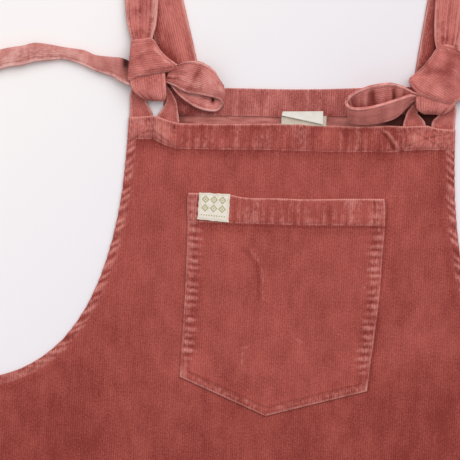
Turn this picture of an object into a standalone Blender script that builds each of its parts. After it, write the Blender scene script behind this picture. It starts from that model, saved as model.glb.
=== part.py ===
"""Pinafore dress in fine corduroy, laid flat on its back with its front bib over its back bib.

Frame: metres, +X to the right of the laid-out dress, +Y from the hem towards the shoulders, +Z up
from the surface it lies on. The origin is on that surface, under the middle of the dress's outline.
Places on the dress are measured from the middle of the bib's top edge (see BIB_TOP_Y).

Each piece of cloth is a closed solid: either a slab between two surfaces that a function places, or
a ribbon, an open strip that follows a short table of cross-sections and gets its wall from Solidify.
"""

import math

import bmesh
import bpy
from mathutils import Vector

# ---- Cloth -----------------------------------------------------------------------------------
CLOTH = 0.0012            # one layer of corduroy
DOUBLED = 2 * CLOTH       # a turned hem or a strap
LABEL_CLOTH = 0.0010      # woven label or patch
SEAM = 0.0003             # air left between two pieces

# ---- Main sizes ------------------------------------------------------------------------------
BIB_TOP_Y = 0.30225       # the bib's top edge above the middle of the outline
DRESS_DROP = 0.790        # from the bib's top edge to the foot of the hem
UNDERARM_HALF = 0.255     # half the width laid flat at the underarm
HEM_HALF = 0.330          # half the width laid flat at the hem
HEM_RISE = 0.022          # how much higher the hem is at the side seams than in the middle
BOTTOM_HEM = 0.025        # depth of the turned hem at the foot
TOP_HEM = 0.021           # depth of the band across the bib
ARMHOLE_HEM = 0.0075      # width of the armhole's hem
BACK_TOP_HEM = 0.023      # depth of the back bib's turned hem
STRAP_WIDTH = 0.031

# Control points of the armholes, half of each bib: (distance from the bib's middle, height).
FRONT_ARMHOLE = ((0.1348, 0.0), (0.1347, -0.1288), (0.1665, -0.2153), (UNDERARM_HALF, -0.2224))
BACK_ARMHOLE = ((0.119, 0.031), (0.116, -0.098), (0.152, -0.214), (UNDERARM_HALF, -0.2224))

# How the two bibs lie: the front's top edge runs a little uphill, and rises where a loop pulls it.
FRONT_TILT = 0.020
LOOP_PULL = 0.0030
LOOP_PLACE = 0.124
LOOP_REACH = 0.017
# The back bib lies turned and shifted to the right under the front one.
BACK_SHIFT = 0.012
BACK_TILT = 0.052
TILT_FADE = 0.120         # both leanings are gone this far below the bib's top

# ---- Stacking of the laid-out layers, heights of under faces ----------------------------------
FRONT_Z = CLOTH + SEAM                # the front lies on the back
BACK_HEM_Z = CLOTH + SEAM             # the back's turned hem lies on the back's wrong side
LABEL_Z = BACK_HEM_Z + CLOTH + SEAM
FLUTE_HEIGHT = 0.0022                 # soft flutes of the flared skirt

# Flutes of the skirt: where each crosses the hem as a share of the half width, and its strength.
FLUTES = ((-0.72, 0.8), (-0.31, 1.0), (0.12, 0.7), (0.47, 1.0), (0.80, 0.6))
FLUTE_WIDTH = 0.055

# Rows of the panels' grids, in the bib and in the skirt.
BIB_ROWS = 18
SKIRT_ROWS = 11

# ---- Finishes: colour and roughness ------------------------------------------------------------
MATERIALS = {
    "cord": ((0.370, 0.083, 0.070, 1.0), 0.92),
    "cord_light": ((0.490, 0.150, 0.125, 1.0), 0.90),
    "cord_inside": ((0.420, 0.145, 0.115, 1.0), 0.95),
    "label": ((0.720, 0.640, 0.500, 1.0), 0.85),
}


# ---- Small helpers ---------------------------------------------------------------------------
def mix(start, end, share):
    """The value or point that lies share of the way from start to end."""
    return start + (end - start) * share


def smooth(low, high, value):
    """0 below low, 1 above high, and an S-curve between them."""
    share = min(max((value - low) / (high - low), 0.0), 1.0)
    return share * share * (3.0 - 2.0 * share)


def bezier(controls, t):
    """The point at t of a cubic curve with four control points."""
    weights = ((1 - t) ** 3, 3 * t * (1 - t) ** 2, 3 * t * t * (1 - t), t ** 3)
    return Vector((sum(w * p[0] for w, p in zip(weights, controls)),
                   sum(w * p[1] for w, p in zip(weights, controls))))


def inset(controls, t, distance):
    """A point that lies distance inside the cloth from the armhole's edge."""
    step = 0.001
    along = bezier(controls, min(t + step, 1.0)) - bezier(controls, max(t - step, 0.0))
    along.normalize()
    return bezier(controls, t) + Vector((along.y, -along.x)) * distance


def armhole_share(controls, y, distance):
    """Where the line that runs distance inside the armhole is at height y, from 0 to 1."""
    low, high = 0.0, 1.0
    for _ in range(40):
        middle = (low + high) / 2
        if inset(controls, middle, distance).y > y:
            low = middle
        else:
            high = middle
    return high


def armhole_half(controls, y, distance=0.0):
    """Half the bib's width at height y, measured to a line distance inside the armhole."""
    return inset(controls, armhole_share(controls, y, distance), distance).x


def side_half(y):
    """Half the skirt's width at height y, along the straight side seam."""
    underarm_y = FRONT_ARMHOLE[-1][1]
    return mix(UNDERARM_HALF, HEM_HALF, (y - underarm_y) / (-DRESS_DROP - underarm_y))


def spline(rows, share):
    """A point of the smooth curve through rows of numbers, share of the way along it."""
    place = share * (len(rows) - 1)
    index = min(int(place), len(rows) - 2)
    t = place - index
    before, start = rows[max(index - 1, 0)], rows[index]
    end, after = rows[index + 1], rows[min(index + 2, len(rows) - 1)]
    values = []
    for a, b, c, d in zip(before, start, end, after):
        values.append(0.5 * (2 * b + (c - a) * t + (2 * a - 5 * b + 4 * c - d) * t * t
                             + (3 * b - a - 3 * c + d) * t ** 3))
    return values


# ---- Making of solids ------------------------------------------------------------------------
def new_object(name, mesh, material_name, collection):
    """Link a mesh as an object with its own material."""
    colour, roughness = MATERIALS[material_name]
    material = bpy.data.materials.new(name)
    material.use_nodes = True
    shader = material.node_tree.nodes["Principled BSDF"]
    shader.inputs["Base Color"].default_value = colour
    shader.inputs["Roughness"].default_value = roughness
    shader.inputs["Metallic"].default_value = 0.0
    mesh.materials.append(material)
    thing = bpy.data.objects.new(name, mesh)
    thing.location = (0.0, BIB_TOP_Y, 0.0)
    collection.objects.link(thing)
    return thing


def grid(columns, rows):
    """A flat grid of quads over 0..1 by 0..1."""
    sheet = bmesh.new()
    bmesh.ops.create_grid(sheet, x_segments=columns, y_segments=rows, size=0.5)
    bmesh.ops.translate(sheet, verts=sheet.verts, vec=(0.5, 0.5, 0.0))
    return sheet


def slab(name, columns, rows, place, material_name, collection):
    """A closed slab of cloth. place(u, v, w) puts its points, w being 0 below and 1 above."""
    sheet = grid(columns, rows)
    bmesh.ops.solidify(sheet, geom=sheet.faces[:], thickness=1.0)
    lowest = min(vert.co.z for vert in sheet.verts)
    for vert in sheet.verts:
        vert.co = place(vert.co.x, vert.co.y, vert.co.z - lowest)
    if sheet.calc_volume(signed=True) < 0:
        bmesh.ops.reverse_faces(sheet, faces=sheet.faces[:])
    mesh = bpy.data.meshes.new(name)
    sheet.to_mesh(mesh)
    sheet.free()
    return new_object(name, mesh, material_name, collection)


def ribbon(name, sections, columns, rows, material_name, collection, crown=0.0, thickness=DOUBLED):
    """A strip of doubled cloth through rows of (x, y, z) of its one edge and of its other edge."""
    sheet = grid(columns, rows)
    for vert in sheet.verts:
        u, v = vert.co.x, vert.co.y
        values = spline(sections, v)
        place = mix(Vector(values[:3]), Vector(values[3:]), u)
        place.z += crown * math.sin(math.pi * u) * math.sin(math.pi * v)
        vert.co = place
    mesh = bpy.data.meshes.new(name)
    sheet.to_mesh(mesh)
    sheet.free()
    thing = new_object(name, mesh, material_name, collection)
    wall = thing.modifiers.new("wall", "SOLIDIFY")
    wall.thickness = thickness
    wall.offset = 0.0
    wall.use_even_offset = True
    return thing


# ---- The laid-out panels ---------------------------------------------------------------------
def front_lean(x, y):
    """How far a point of the front is moved along Y: the bib leans, and its loops pull it up."""
    pull = LOOP_PULL * math.exp(-((abs(x) - LOOP_PLACE) / LOOP_REACH) ** 2)
    return FRONT_TILT * x * smooth(-TILT_FADE, -TOP_HEM, y) + pull * smooth(-TOP_HEM, 0.0, y)


def back_place(x, y):
    """Where the back's point (x, y), measured on a straight bib, comes to lie."""
    lean = smooth(-TILT_FADE, 0.0, y)
    return Vector((x + BACK_SHIFT * lean, y + BACK_TILT * x * lean))


def hem_lift(x, y):
    """How far a point of the skirt is raised along Y by the curve of the hem."""
    drop = smooth(FRONT_ARMHOLE[-1][1], -DRESS_DROP, y)
    return HEM_RISE * (x / HEM_HALF) ** 2 * drop


def front_height(x, y):
    """Height of the front's under face: flat on the back, with soft flutes down the skirt."""
    down = smooth(-0.36, -DRESS_DROP, y)
    over_back_hem = smooth(-DRESS_DROP + 3 * BOTTOM_HEM, -DRESS_DROP + BOTTOM_HEM, y)
    flutes = 0.0
    for share, strength in FLUTES:
        flutes += strength * math.exp(-((x - share * side_half(y)) / FLUTE_WIDTH) ** 2)
    inside = smooth(side_half(y), side_half(y) - FLUTE_WIDTH, abs(x))
    return FRONT_Z + CLOTH * over_back_hem + FLUTE_HEIGHT * flutes * down * inside


def bib_heights(top_y, corner_y, count):
    """Heights from the top of a bib to its underarm, closer together where the armhole flattens."""
    return [mix(top_y, corner_y, 1 - (1 - index / count) ** 1.7) for index in range(count + 1)]


def panel_rows(controls, distance, top_y, low_y, count_bib, count_skirt):
    """Rows (height, half width) of a panel from its top to the line above its bottom hem."""
    rows = []
    corner_y = inset(controls, 1.0, distance).y
    for y in bib_heights(top_y, corner_y, count_bib):
        rows.append((y, armhole_half(controls, y, distance)))
    rows.pop()
    for index in range(count_skirt + 1):
        y = mix(corner_y, low_y, index / count_skirt)
        rows.append((y, side_half(y)))
    return rows


def make_front(collection):
    """Front panel, its band, its armhole hems and its bottom hem."""
    stitch_y = -TOP_HEM - SEAM
    hem_y = -DRESS_DROP + BOTTOM_HEM
    panel_inset = ARMHOLE_HEM + SEAM
    rows = panel_rows(FRONT_ARMHOLE, panel_inset, stitch_y, hem_y + SEAM, BIB_ROWS, SKIRT_ROWS)
    corner_y = inset(FRONT_ARMHOLE, 1.0, panel_inset).y
    heights = bib_heights(stitch_y, corner_y, BIB_ROWS)

    def front_point(x, y, z):
        place = Vector((x, y + front_lean(x, y) + hem_lift(x, y), z))
        place.z += front_height(x, y)
        return place

    def panel(u, v, w):
        y, half = rows[round((1 - v) * (len(rows) - 1))]
        return front_point((2 * u - 1) * half, y, CLOTH * w)

    def band(u, v, w):
        y = mix(-TOP_HEM, 0.0, v)
        return front_point((2 * u - 1) * armhole_half(FRONT_ARMHOLE, y), y, DOUBLED * w)

    def bottom(u, v, w):
        y = mix(-DRESS_DROP, hem_y, v)
        return front_point((2 * u - 1) * side_half(y), y, DOUBLED * w)

    slab("front_panel", 20, len(rows) - 1, panel, "cord", collection)
    slab("front_top_hem", 24, 2, band, "cord", collection)
    slab("front_bottom_hem", 24, 1, bottom, "cord", collection)
    for side, name in ((-1, "left"), (1, "right")):
        def armhole(u, v, w, side=side):
            y = heights[round(v * (len(heights) - 1))]
            t = armhole_share(FRONT_ARMHOLE, y, ARMHOLE_HEM)
            edge = inset(FRONT_ARMHOLE, t, ARMHOLE_HEM * u)
            edge.y = min(edge.y, stitch_y)
            return front_point(side * edge.x, edge.y, DOUBLED * w)
        slab("front_armhole_hem_" + name, 1, len(heights) - 1, armhole, "cord", collection)


def make_back(collection):
    """Back panel with its turned top hem and its bottom hem."""
    hem_y = -DRESS_DROP + BOTTOM_HEM
    top_y = BACK_ARMHOLE[0][1]
    rows = panel_rows(BACK_ARMHOLE, 0.0, top_y, hem_y + SEAM, BIB_ROWS, SKIRT_ROWS)

    def back_point(x, y, z):
        place = back_place(x, y)
        return Vector((place.x, place.y + hem_lift(x, y), z))

    def panel(u, v, w):
        y, half = rows[round((1 - v) * (len(rows) - 1))]
        return back_point((2 * u - 1) * half, y, CLOTH * w)

    def top_hem(u, v, w):
        y = mix(top_y - BACK_TOP_HEM, top_y, v)
        half = armhole_half(BACK_ARMHOLE, y) - CLOTH
        return back_point((2 * u - 1) * half, y, BACK_HEM_Z + CLOTH * w)

    def bottom(u, v, w):
        y = mix(-DRESS_DROP, hem_y, v)
        return back_point((2 * u - 1) * side_half(y), y, DOUBLED * w)

    slab("back_panel", 16, len(rows) - 1, panel, "cord_inside", collection)
    slab("back_top_hem", 12, 1, top_hem, "cord_light", collection)
    slab("back_bottom_hem", 24, 1, bottom, "cord_inside", collection)


# ---- Pocket and labels -----------------------------------------------------------------------
POCKET_TOP = (-0.0835, 0.0798, -0.0596)       # left, right, height
POCKET_FOOT = (-0.0828, 0.0721, -0.2150)
POCKET_FOOT_SLANT = 0.0046                    # the right foot corner is this much lower
POCKET_POINT = (-0.0103, -0.2417)
POCKET_HEM = 0.0215
PATCH = (-0.0740, -0.0485, -0.0838, -0.0601)  # left, right, bottom, top
BACK_LABEL = (-0.0075, 0.0245, 0.0032, 0.0112)
CARE_LABEL = (-0.0090, 0.0280, 0.0016, 0.0092)


def make_pocket(collection):
    """Pocket with a pointed foot, its doubled mouth and the patch."""
    left_top, right_top, top_y = POCKET_TOP
    left_foot, right_foot, foot_y = POCKET_FOOT
    point_x, point_y = POCKET_POINT
    point_u = (point_x - left_foot) / (right_foot - left_foot)
    columns = 13
    point_column = round(point_u * columns)

    def across(u):
        column = u * columns
        if column <= point_column:
            return point_u * column / point_column
        return mix(point_u, 1.0, (column - point_column) / (columns - point_column))

    def foot(u):
        if u <= point_u:
            return mix(foot_y + POCKET_FOOT_SLANT / 2, point_y, u / point_u)
        return mix(point_y, foot_y - POCKET_FOOT_SLANT / 2, (u - point_u) / (1 - point_u))

    def pocket_point(u, y, z):
        down = (top_y - y) / (top_y - foot_y)
        x = mix(mix(left_top, left_foot, down), mix(right_top, right_foot, down), u)
        return Vector((x, y, z + front_height(x, y)))

    def body(u, v, w):
        share = across(u)
        y = mix(foot(share), top_y - POCKET_HEM - SEAM, v)
        return pocket_point(share, y, CLOTH + SEAM + CLOTH * w)

    def mouth(u, v, w):
        y = mix(top_y - POCKET_HEM, top_y, v)
        return pocket_point(u, y, CLOTH + SEAM + DOUBLED * w)

    def patch(u, v, w):
        left, right, low, high = PATCH
        height = FRONT_Z + CLOTH + DOUBLED + 2 * SEAM
        return Vector((mix(left, right, u), mix(low, high, v), height + LABEL_CLOTH * w))

    slab("pocket", columns, 8, body, "cord", collection)
    slab("pocket_top_hem", 10, 2, mouth, "cord", collection)
    slab("pocket_patch", 4, 4, patch, "label", collection)


def make_back_labels(collection):
    """The two labels that hang from the back's turned hem, the smaller one on top."""
    labels = (("care_label", CARE_LABEL, LABEL_Z), ("back_label", BACK_LABEL, LABEL_Z + LABEL_CLOTH + SEAM))
    for name, (left, right, low, high), height in labels:
        def label(u, v, w, box=(left, right, low, high), height=height):
            x = mix(box[0], box[1], u)
            return Vector((x, mix(box[2], box[3], v) + BACK_TILT * x * v, height + LABEL_CLOTH * w))
        slab(name, 4, 2, label, "label", collection)


# ---- Straps ----------------------------------------------------------------------------------
# Per side: middle of the strap at the back bib, at the shoulder fold and at the knot.
STRAP_RUNS = {
    "left": ((-0.0905, 0.0262), (-0.1330, 0.1790), (-0.1262, 0.0500)),
    "right": ((0.1135, 0.0370), (0.1315, 0.1790), (0.1240, 0.0500)),
}
STRAP_AT_KNOT = 0.020
FOLD_RADIUS = 0.0026
FOLD_STEPS = 6
BACK_RUN_Z = DOUBLED / 2 + 0.00003
FRONT_RUN_Z = BACK_RUN_Z + DOUBLED + SEAM


def make_strap(side, collection):
    """One strap: flat up from the back bib, over at the shoulder, down on itself to the knot."""
    root, fold, knot = (Vector(place) for place in STRAP_RUNS[side])
    up = (fold - root).normalized()
    down = (knot - fold).normalized()
    across_back = Vector((up.y, -up.x))
    across_front = Vector((-down.y, down.x))
    out = (up - down).normalized()
    half = STRAP_WIDTH / 2
    sections = []

    def add(middle, across, width, z):
        one, other = middle - across * width, middle + across * width
        sections.append((one.x, one.y, z, other.x, other.y, z))

    foot = []
    for sign in (-1, 1):
        x = root.x + sign * half * across_back.x
        edge = BACK_ARMHOLE[0][1] + BACK_TILT * (x - BACK_SHIFT) + SEAM
        foot += [x, edge, BACK_RUN_Z]
    sections.append(tuple(foot))
    for share in (0.12, 0.5, 0.9):
        add(mix(root, fold, share), across_back, half, BACK_RUN_Z)
    for step in range(FOLD_STEPS + 1):
        angle = math.pi * step / FOLD_STEPS
        across = mix(across_back, across_front, step / FOLD_STEPS).normalized()
        middle = fold + out * FOLD_RADIUS * math.sin(angle)
        add(middle, across, half, BACK_RUN_Z + FOLD_RADIUS * (1 - math.cos(angle)))
    for share, narrow, lift in ((0.15, 0.0, 0.0005), (0.30, 0.0, 0.0), (0.6, 0.15, 0.0),
                                (0.85, 0.7, 0.0006), (1.0, 1.0, 0.0012)):
        width = mix(half, STRAP_AT_KNOT / 2, narrow)
        add(mix(fold, knot, share), across_front, width, FRONT_RUN_Z + lift)
    rows = len(sections) - 1
    ribbon("strap_" + side, sections, 4, rows, "cord_light", collection)


# ---- Loops, knots, bows and tails ------------------------------------------------------------
# Rows of the left loop: outer edge (x, y), inner edge (x, y), height of the middle of the cloth.
LOOP_ROWS = (
    (-0.1342, 0.0009, -0.1143, 0.0024, 0.0042),
    (-0.1343, 0.0095, -0.1180, 0.0080, 0.0044),
    (-0.1343, 0.0189, -0.1204, 0.0132, 0.0052),
    (-0.1300, 0.0290, -0.1185, 0.0205, 0.0060),
    (-0.1170, 0.0345, -0.1125, 0.0235, 0.0062),
    (-0.1047, 0.0265, -0.1055, 0.0200, 0.0060),
    (-0.0966, 0.0150, -0.1046, 0.0132, 0.0052),
    (-0.0944, 0.0060, -0.1078, 0.0070, 0.0044),
    (-0.0929, -0.0014, -0.1113, 0.0016, 0.0042),
)
LOOP_TOP = 0.018          # only the feet of a loop follow the leaning of the bib
# Rows of the strap's lower turn: left edge x, right edge x, y, fall of y to the left, height.
PASS_ROWS = (
    (-0.1330, -0.1072, 0.0368, 0.0050, 0.0088),
    (-0.1338, -0.1058, 0.0300, 0.0020, 0.0112),
    (-0.1330, -0.1046, 0.0222, 0.0000, 0.0118),
    (-0.1265, -0.1046, 0.0165, 0.0000, 0.0104),
    (-0.1178, -0.1056, 0.0146, 0.0000, 0.0068),
    (-0.1172, -0.1066, 0.0150, 0.0000, 0.0046),
)
# Rows of the upper turn over the knot: lower edge (x, y), upper edge (x, y), edge and crown height.
WRAP_ROWS = (
    (-0.1372, 0.0350, -0.1366, 0.0585, 0.0080, 0.0095),
    (-0.1290, 0.0345, -0.1280, 0.0635, 0.0110, 0.0150),
    (-0.1180, 0.0365, -0.1165, 0.0640, 0.0120, 0.0165),
    (-0.1080, 0.0392, -0.1060, 0.0525, 0.0115, 0.0150),
    (-0.1003, 0.0410, -0.0975, 0.0440, 0.0105, 0.0115),
)
WRAP_UNDER = 0.0071
# Rows of the left bow: far edge (x, y, z) and near edge (x, y, z), out above and back below.
BOW_LEFT_ROWS = (
    (-0.0972, 0.0430, 0.0110, -0.1042, 0.0312, 0.0110),
    (-0.0898, 0.0465, 0.0150, -0.0985, 0.0262, 0.0130),
    (-0.0805, 0.0475, 0.0185, -0.0887, 0.0215, 0.0155),
    (-0.0728, 0.0450, 0.0190, -0.0772, 0.0198, 0.0165),
    (-0.0656, 0.0400, 0.0170, -0.0684, 0.0185, 0.0155),
    (-0.0596, 0.0315, 0.0130, -0.0602, 0.0155, 0.0125),
    (-0.0594, 0.0280, 0.0085, -0.0590, 0.0100, 0.0085),
    (-0.0656, 0.0290, 0.0055, -0.0650, 0.0063, 0.0058),
    (-0.0780, 0.0350, 0.0062, -0.0793, 0.0090, 0.0067),
    (-0.0900, 0.0390, 0.0068, -0.0940, 0.0180, 0.0072),
    (-0.0965, 0.0400, 0.0074, -0.1030, 0.0290, 0.0076),
)
# Rows of the right bow, which stands on its edge: rim (x, y, z) and base (x, y, z).
BOW_RIGHT_ROWS = (
    (0.1042, 0.0306, 0.0170, 0.1046, 0.0272, 0.0112),
    (0.0874, 0.0365, 0.0255, 0.0880, 0.0235, 0.0078),
    (0.0771, 0.0365, 0.0290, 0.0770, 0.0220, 0.0056),
    (0.0612, 0.0330, 0.0295, 0.0612, 0.0195, 0.0052),
    (0.0480, 0.0265, 0.0290, 0.0505, 0.0150, 0.0052),
    (0.0430, 0.0185, 0.0280, 0.0460, 0.0085, 0.0052),
    (0.0490, 0.0130, 0.0270, 0.0500, 0.0040, 0.0055),
    (0.0629, 0.0140, 0.0270, 0.0635, 0.0040, 0.0058),
    (0.0824, 0.0205, 0.0260, 0.0831, 0.0085, 0.0066),
    (0.0950, 0.0260, 0.0210, 0.0940, 0.0165, 0.0078),
    (0.0990, 0.0265, 0.0160, 0.0985, 0.0210, 0.0090),
)
# Rows of the left tail: upper edge (x, y), lower edge (x, y), height of the middle of the cloth.
TAIL_ROWS = (
    (-0.1350, 0.0450, -0.1350, 0.0252, 0.0056),
    (-0.1430, 0.0478, -0.1426, 0.0269, 0.0046),
    (-0.1510, 0.0480, -0.1503, 0.0318, 0.0028),
    (-0.1649, 0.0488, -0.1640, 0.0370, 0.0016),
    (-0.1743, 0.0524, -0.1763, 0.0409, 0.0013),
    (-0.1926, 0.0544, -0.1900, 0.0445, 0.0013),
    (-0.2038, 0.0566, -0.2022, 0.0447, 0.0020),
    (-0.2149, 0.0578, -0.2151, 0.0423, 0.0030),
    (-0.2248, 0.0551, -0.2240, 0.0396, 0.0034),
    (-0.2420, 0.0500, -0.2405, 0.0340, 0.0026),
    (-0.2680, 0.0400, -0.2620, 0.0225, 0.0013),
    (-0.2950, 0.0225, -0.2840, 0.0085, 0.0013),
)


def mirrored(rows, pairs):
    """The same rows on the other side: every x changes sign."""
    return tuple(tuple(-value if index in pairs else value for index, value in enumerate(row))
                 for row in rows)


def make_knot(side, collection):
    """Loop, lower turn, upper turn and tail of one side; the right ones mirror the left ones."""
    turn = (lambda rows, pairs: rows) if side == "left" else mirrored
    shift = 0.0 if side == "left" else 2 * FRONT_TILT * LOOP_PLACE

    loop = []
    for outer_x, outer_y, inner_x, inner_y, z in turn(LOOP_ROWS, (0, 2)):
        loop.append((outer_x, outer_y + shift * smooth(LOOP_TOP, 0.0, outer_y), z,
                     inner_x, inner_y + shift * smooth(LOOP_TOP, 0.0, inner_y), z))
    ribbon("loop_" + side, loop, 2, 18, "cord", collection)

    lower = []
    for left_x, right_x, y, fall, z in turn(PASS_ROWS, (0, 1)):
        lower.append((left_x, y - fall, z, right_x, y, z))
    ribbon("knot_pass_" + side, lower, 4, 12, "cord_light", collection)

    rows = turn(WRAP_ROWS, (0, 2))

    def wrap(u, v, w):
        low_x, low_y, high_x, high_y, edge_z, crown_z = spline(rows, u)
        top = mix(edge_z, crown_z, math.sin(math.pi * v) ** 0.7 if 0 < v < 1 else 0.0)
        return Vector((mix(low_x, high_x, v), mix(low_y, high_y, v), mix(WRAP_UNDER, top, w)))

    slab("knot_wrap_" + side, 10, 6, wrap, "cord_light", collection)

    tail = []
    for high_x, high_y, low_x, low_y, z in turn(TAIL_ROWS, (0, 2)):
        tail.append((high_x, high_y, z, low_x, low_y, z))
    ribbon("tail_" + side, tail, 3, 22, "cord_light", collection)


def main():
    """Clear the scene and build the dress."""
    for thing in list(bpy.data.objects):
        bpy.data.objects.remove(thing, do_unlink=True)
    dress = bpy.data.collections.new("pinafore_dress")
    bpy.context.scene.collection.children.link(dress)
    make_back(dress)
    make_front(dress)
    make_pocket(dress)
    make_back_labels(dress)
    for side in ("left", "right"):
        make_strap(side, dress)
        make_knot(side, dress)
    ribbon("bow_left", BOW_LEFT_ROWS, 5, 24, "cord_light", dress, crown=0.002)
    ribbon("bow_right", BOW_RIGHT_ROWS, 4, 26, "cord_light", dress)


main()
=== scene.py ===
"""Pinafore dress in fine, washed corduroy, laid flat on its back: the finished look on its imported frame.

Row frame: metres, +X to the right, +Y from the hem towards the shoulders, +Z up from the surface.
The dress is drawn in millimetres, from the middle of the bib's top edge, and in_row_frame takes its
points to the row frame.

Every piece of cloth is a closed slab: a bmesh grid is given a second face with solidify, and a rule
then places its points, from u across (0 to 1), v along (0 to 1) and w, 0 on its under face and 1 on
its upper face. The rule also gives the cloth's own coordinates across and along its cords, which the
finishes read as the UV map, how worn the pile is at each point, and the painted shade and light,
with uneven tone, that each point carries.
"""

import logging
import math
from collections.abc import Callable, Sequence
from dataclasses import dataclass, field
from enum import Enum, IntEnum

import bmesh
import bpy
import numpy as np
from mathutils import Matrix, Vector
from mathutils.bvhtree import BVHTree


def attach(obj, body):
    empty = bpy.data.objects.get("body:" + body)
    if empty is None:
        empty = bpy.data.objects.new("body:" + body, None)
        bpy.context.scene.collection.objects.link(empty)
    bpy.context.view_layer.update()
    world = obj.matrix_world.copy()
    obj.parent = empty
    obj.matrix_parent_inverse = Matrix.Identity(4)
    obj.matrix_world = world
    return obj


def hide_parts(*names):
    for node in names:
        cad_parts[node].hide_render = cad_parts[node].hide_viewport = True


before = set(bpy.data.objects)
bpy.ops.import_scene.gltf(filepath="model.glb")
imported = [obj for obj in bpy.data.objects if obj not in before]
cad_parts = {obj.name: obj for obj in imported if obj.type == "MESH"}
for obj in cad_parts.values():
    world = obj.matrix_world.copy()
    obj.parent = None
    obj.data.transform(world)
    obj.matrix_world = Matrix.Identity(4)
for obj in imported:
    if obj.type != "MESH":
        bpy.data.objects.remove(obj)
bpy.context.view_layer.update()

LOG = logging.getLogger("pinafore_dress")
BODY = "root"
MM = 0.001

Array = np.ndarray
Piece = bpy.types.Object
Inputs = dict[int | str, object]
Colour = tuple[float, float, float]
Path = tuple[tuple[float, float], ...]
Table = tuple[tuple[float, ...], ...]

# ---- Sizes that the whole dress shares, in millimetres -------------------------------------------
CLOTH = 1.2                  # one layer of corduroy
DOUBLED = 2 * CLOTH          # a turned hem or a strap
SEAM = 0.3
BUTT = 0.02                  # what is left open where two pieces of one cloth meet at a stitch line
LIFT = 0.35                  # how far the front panel stays above the height that its lay gives
STEP = 0.30                  # how far a stitched edge stands above the cloth beside it
BIB_TOP_Y = 302.25           # from the origin up to the bib's top edge
DRESS_DROP = 790.0
UNDERARM_HALF = 255.0
UNDERARM_Y = -222.4
HEM_HALF = 330.0
HEM_RISE = 22.0
BOTTOM_HEM = 25.0
TOP_HEM = 21.0
ARMHOLE_HEM = 7.5
BACK_TOP_HEM = 23.0
STRAP_WIDTH = 31.0
WALE = 1.814                 # from one cord of the corduroy to the next
FAR = 1000.0                 # further than any edge


class Side(IntEnum):
    """Left or right, and the sign that X has there."""

    LEFT = -1
    RIGHT = 1

    @property
    def tag(self) -> str:
        """How the side is called in the names of pieces."""
        return self.name.lower()


# ---- Small helpers -------------------------------------------------------------------------------
def mix(start: Array, end: Array, share: Array) -> Array:
    """The value or point that lies share of the way from start to end."""
    return start + (end - start) * share


def capped(value: Array) -> Array:
    """The value, held between 0 and 1."""
    return np.clip(value, 0.0, 1.0)


def smooth(low: float, high: float, value: Array) -> Array:
    """0 before low, 1 past high, and an S-curve between them."""
    share = capped((value - low) / (high - low))
    return share * share * (3.0 - 2.0 * share)


def bell(value: Array, width: float) -> Array:
    """1 at 0, falling away on both sides."""
    return np.exp(-((value / width) ** 2))


def even(count: int) -> Array:
    """So many places, evenly spaced from 0 to 1."""
    return np.linspace(0.0, 1.0, count)


def stacked(*columns: Array) -> Array:
    """Columns of numbers side by side, one row for each point."""
    return np.stack(np.broadcast_arrays(*columns), axis=-1)


def wander(along: Array, pitch: float, seed: float) -> Array:
    """A smooth wave of about that pitch, uneven in height and spacing, from -1 to 1."""
    turns = 2 * math.pi * along / pitch
    waves = np.sin(turns + seed) + 0.6 * np.sin(0.61 * turns + 2.3 * seed)
    return (waves + 0.5 * np.sin(1.47 * turns + 1.7 * seed)) / 2.1


def blotches(x: Array, y: Array, size: float, seed: int) -> Array:
    """Soft blotches over a flat pattern.

    Args:
        x: places across the pattern.
        y: places along it.
        size: about how large a blotch is.
        seed: which of many such patterns it is.

    Returns:
        A value from -1 to 1 for each place.
    """
    count = 61
    lattice = np.random.default_rng(seed).uniform(-1.0, 1.0, (count, count))
    column, row = x / size + count, y / size + count
    left, low = np.floor(column).astype(int), np.floor(row).astype(int)
    across, up = smooth(0.0, 1.0, column - left), smooth(0.0, 1.0, row - low)
    left, low = left % count, low % count
    right, high = (left + 1) % count, (low + 1) % count
    lower = mix(lattice[left, low], lattice[right, low], across)
    upper = mix(lattice[left, high], lattice[right, high], across)
    return mix(lower, upper, up)


def spline(rows: Sequence[Sequence[float]], share: Array) -> Array:
    """Points of the smooth curve through rows of numbers.

    Args:
        rows: the rows that the curve runs through, all of one length.
        share: how far along it each point is, from 0 to 1.

    Returns:
        One row of numbers for each point.
    """
    table = np.asarray(rows, float)
    last = len(table) - 1
    place = capped(share) * last
    index = np.minimum(place.astype(int), last - 1)
    t = (place - index)[:, None]
    before, start = table[np.maximum(index - 1, 0)], table[index]
    end, after = table[index + 1], table[np.minimum(index + 2, last)]
    bend = 2 * before - 5 * start + 4 * end - after
    twist = 3 * start - before - 3 * end + after
    return 0.5 * (2 * start + (end - before) * t + bend * t ** 2 + twist * t ** 3)


def softened(places: Array, values: Array, at: Array, steps: int, window: int) -> Array:
    """Values between those given at places, with the corners rounded off.

    Args:
        places: where the values hold, in rising order.
        values: the value at each of them.
        at: where values are wanted.
        steps: into how many steps the stretch is divided.
        window: over how many of them a corner is rounded.

    Returns:
        The value at each wanted place.
    """
    grid = np.linspace(places[0], places[-1], steps)
    soft = np.hanning(window) / np.hanning(window).sum()
    padded = np.pad(np.interp(grid, places, values), window // 2, mode="edge")
    return np.interp(at, grid, np.convolve(padded, soft, mode="valid"))


def rounding(inside: Array, radius: float) -> Array:
    """The share of its thickness that cloth has at a distance inside its rolled edge."""
    return 0.22 + 0.78 * np.sqrt(1.0 - (1.0 - capped(inside / radius)) ** 2)


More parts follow.
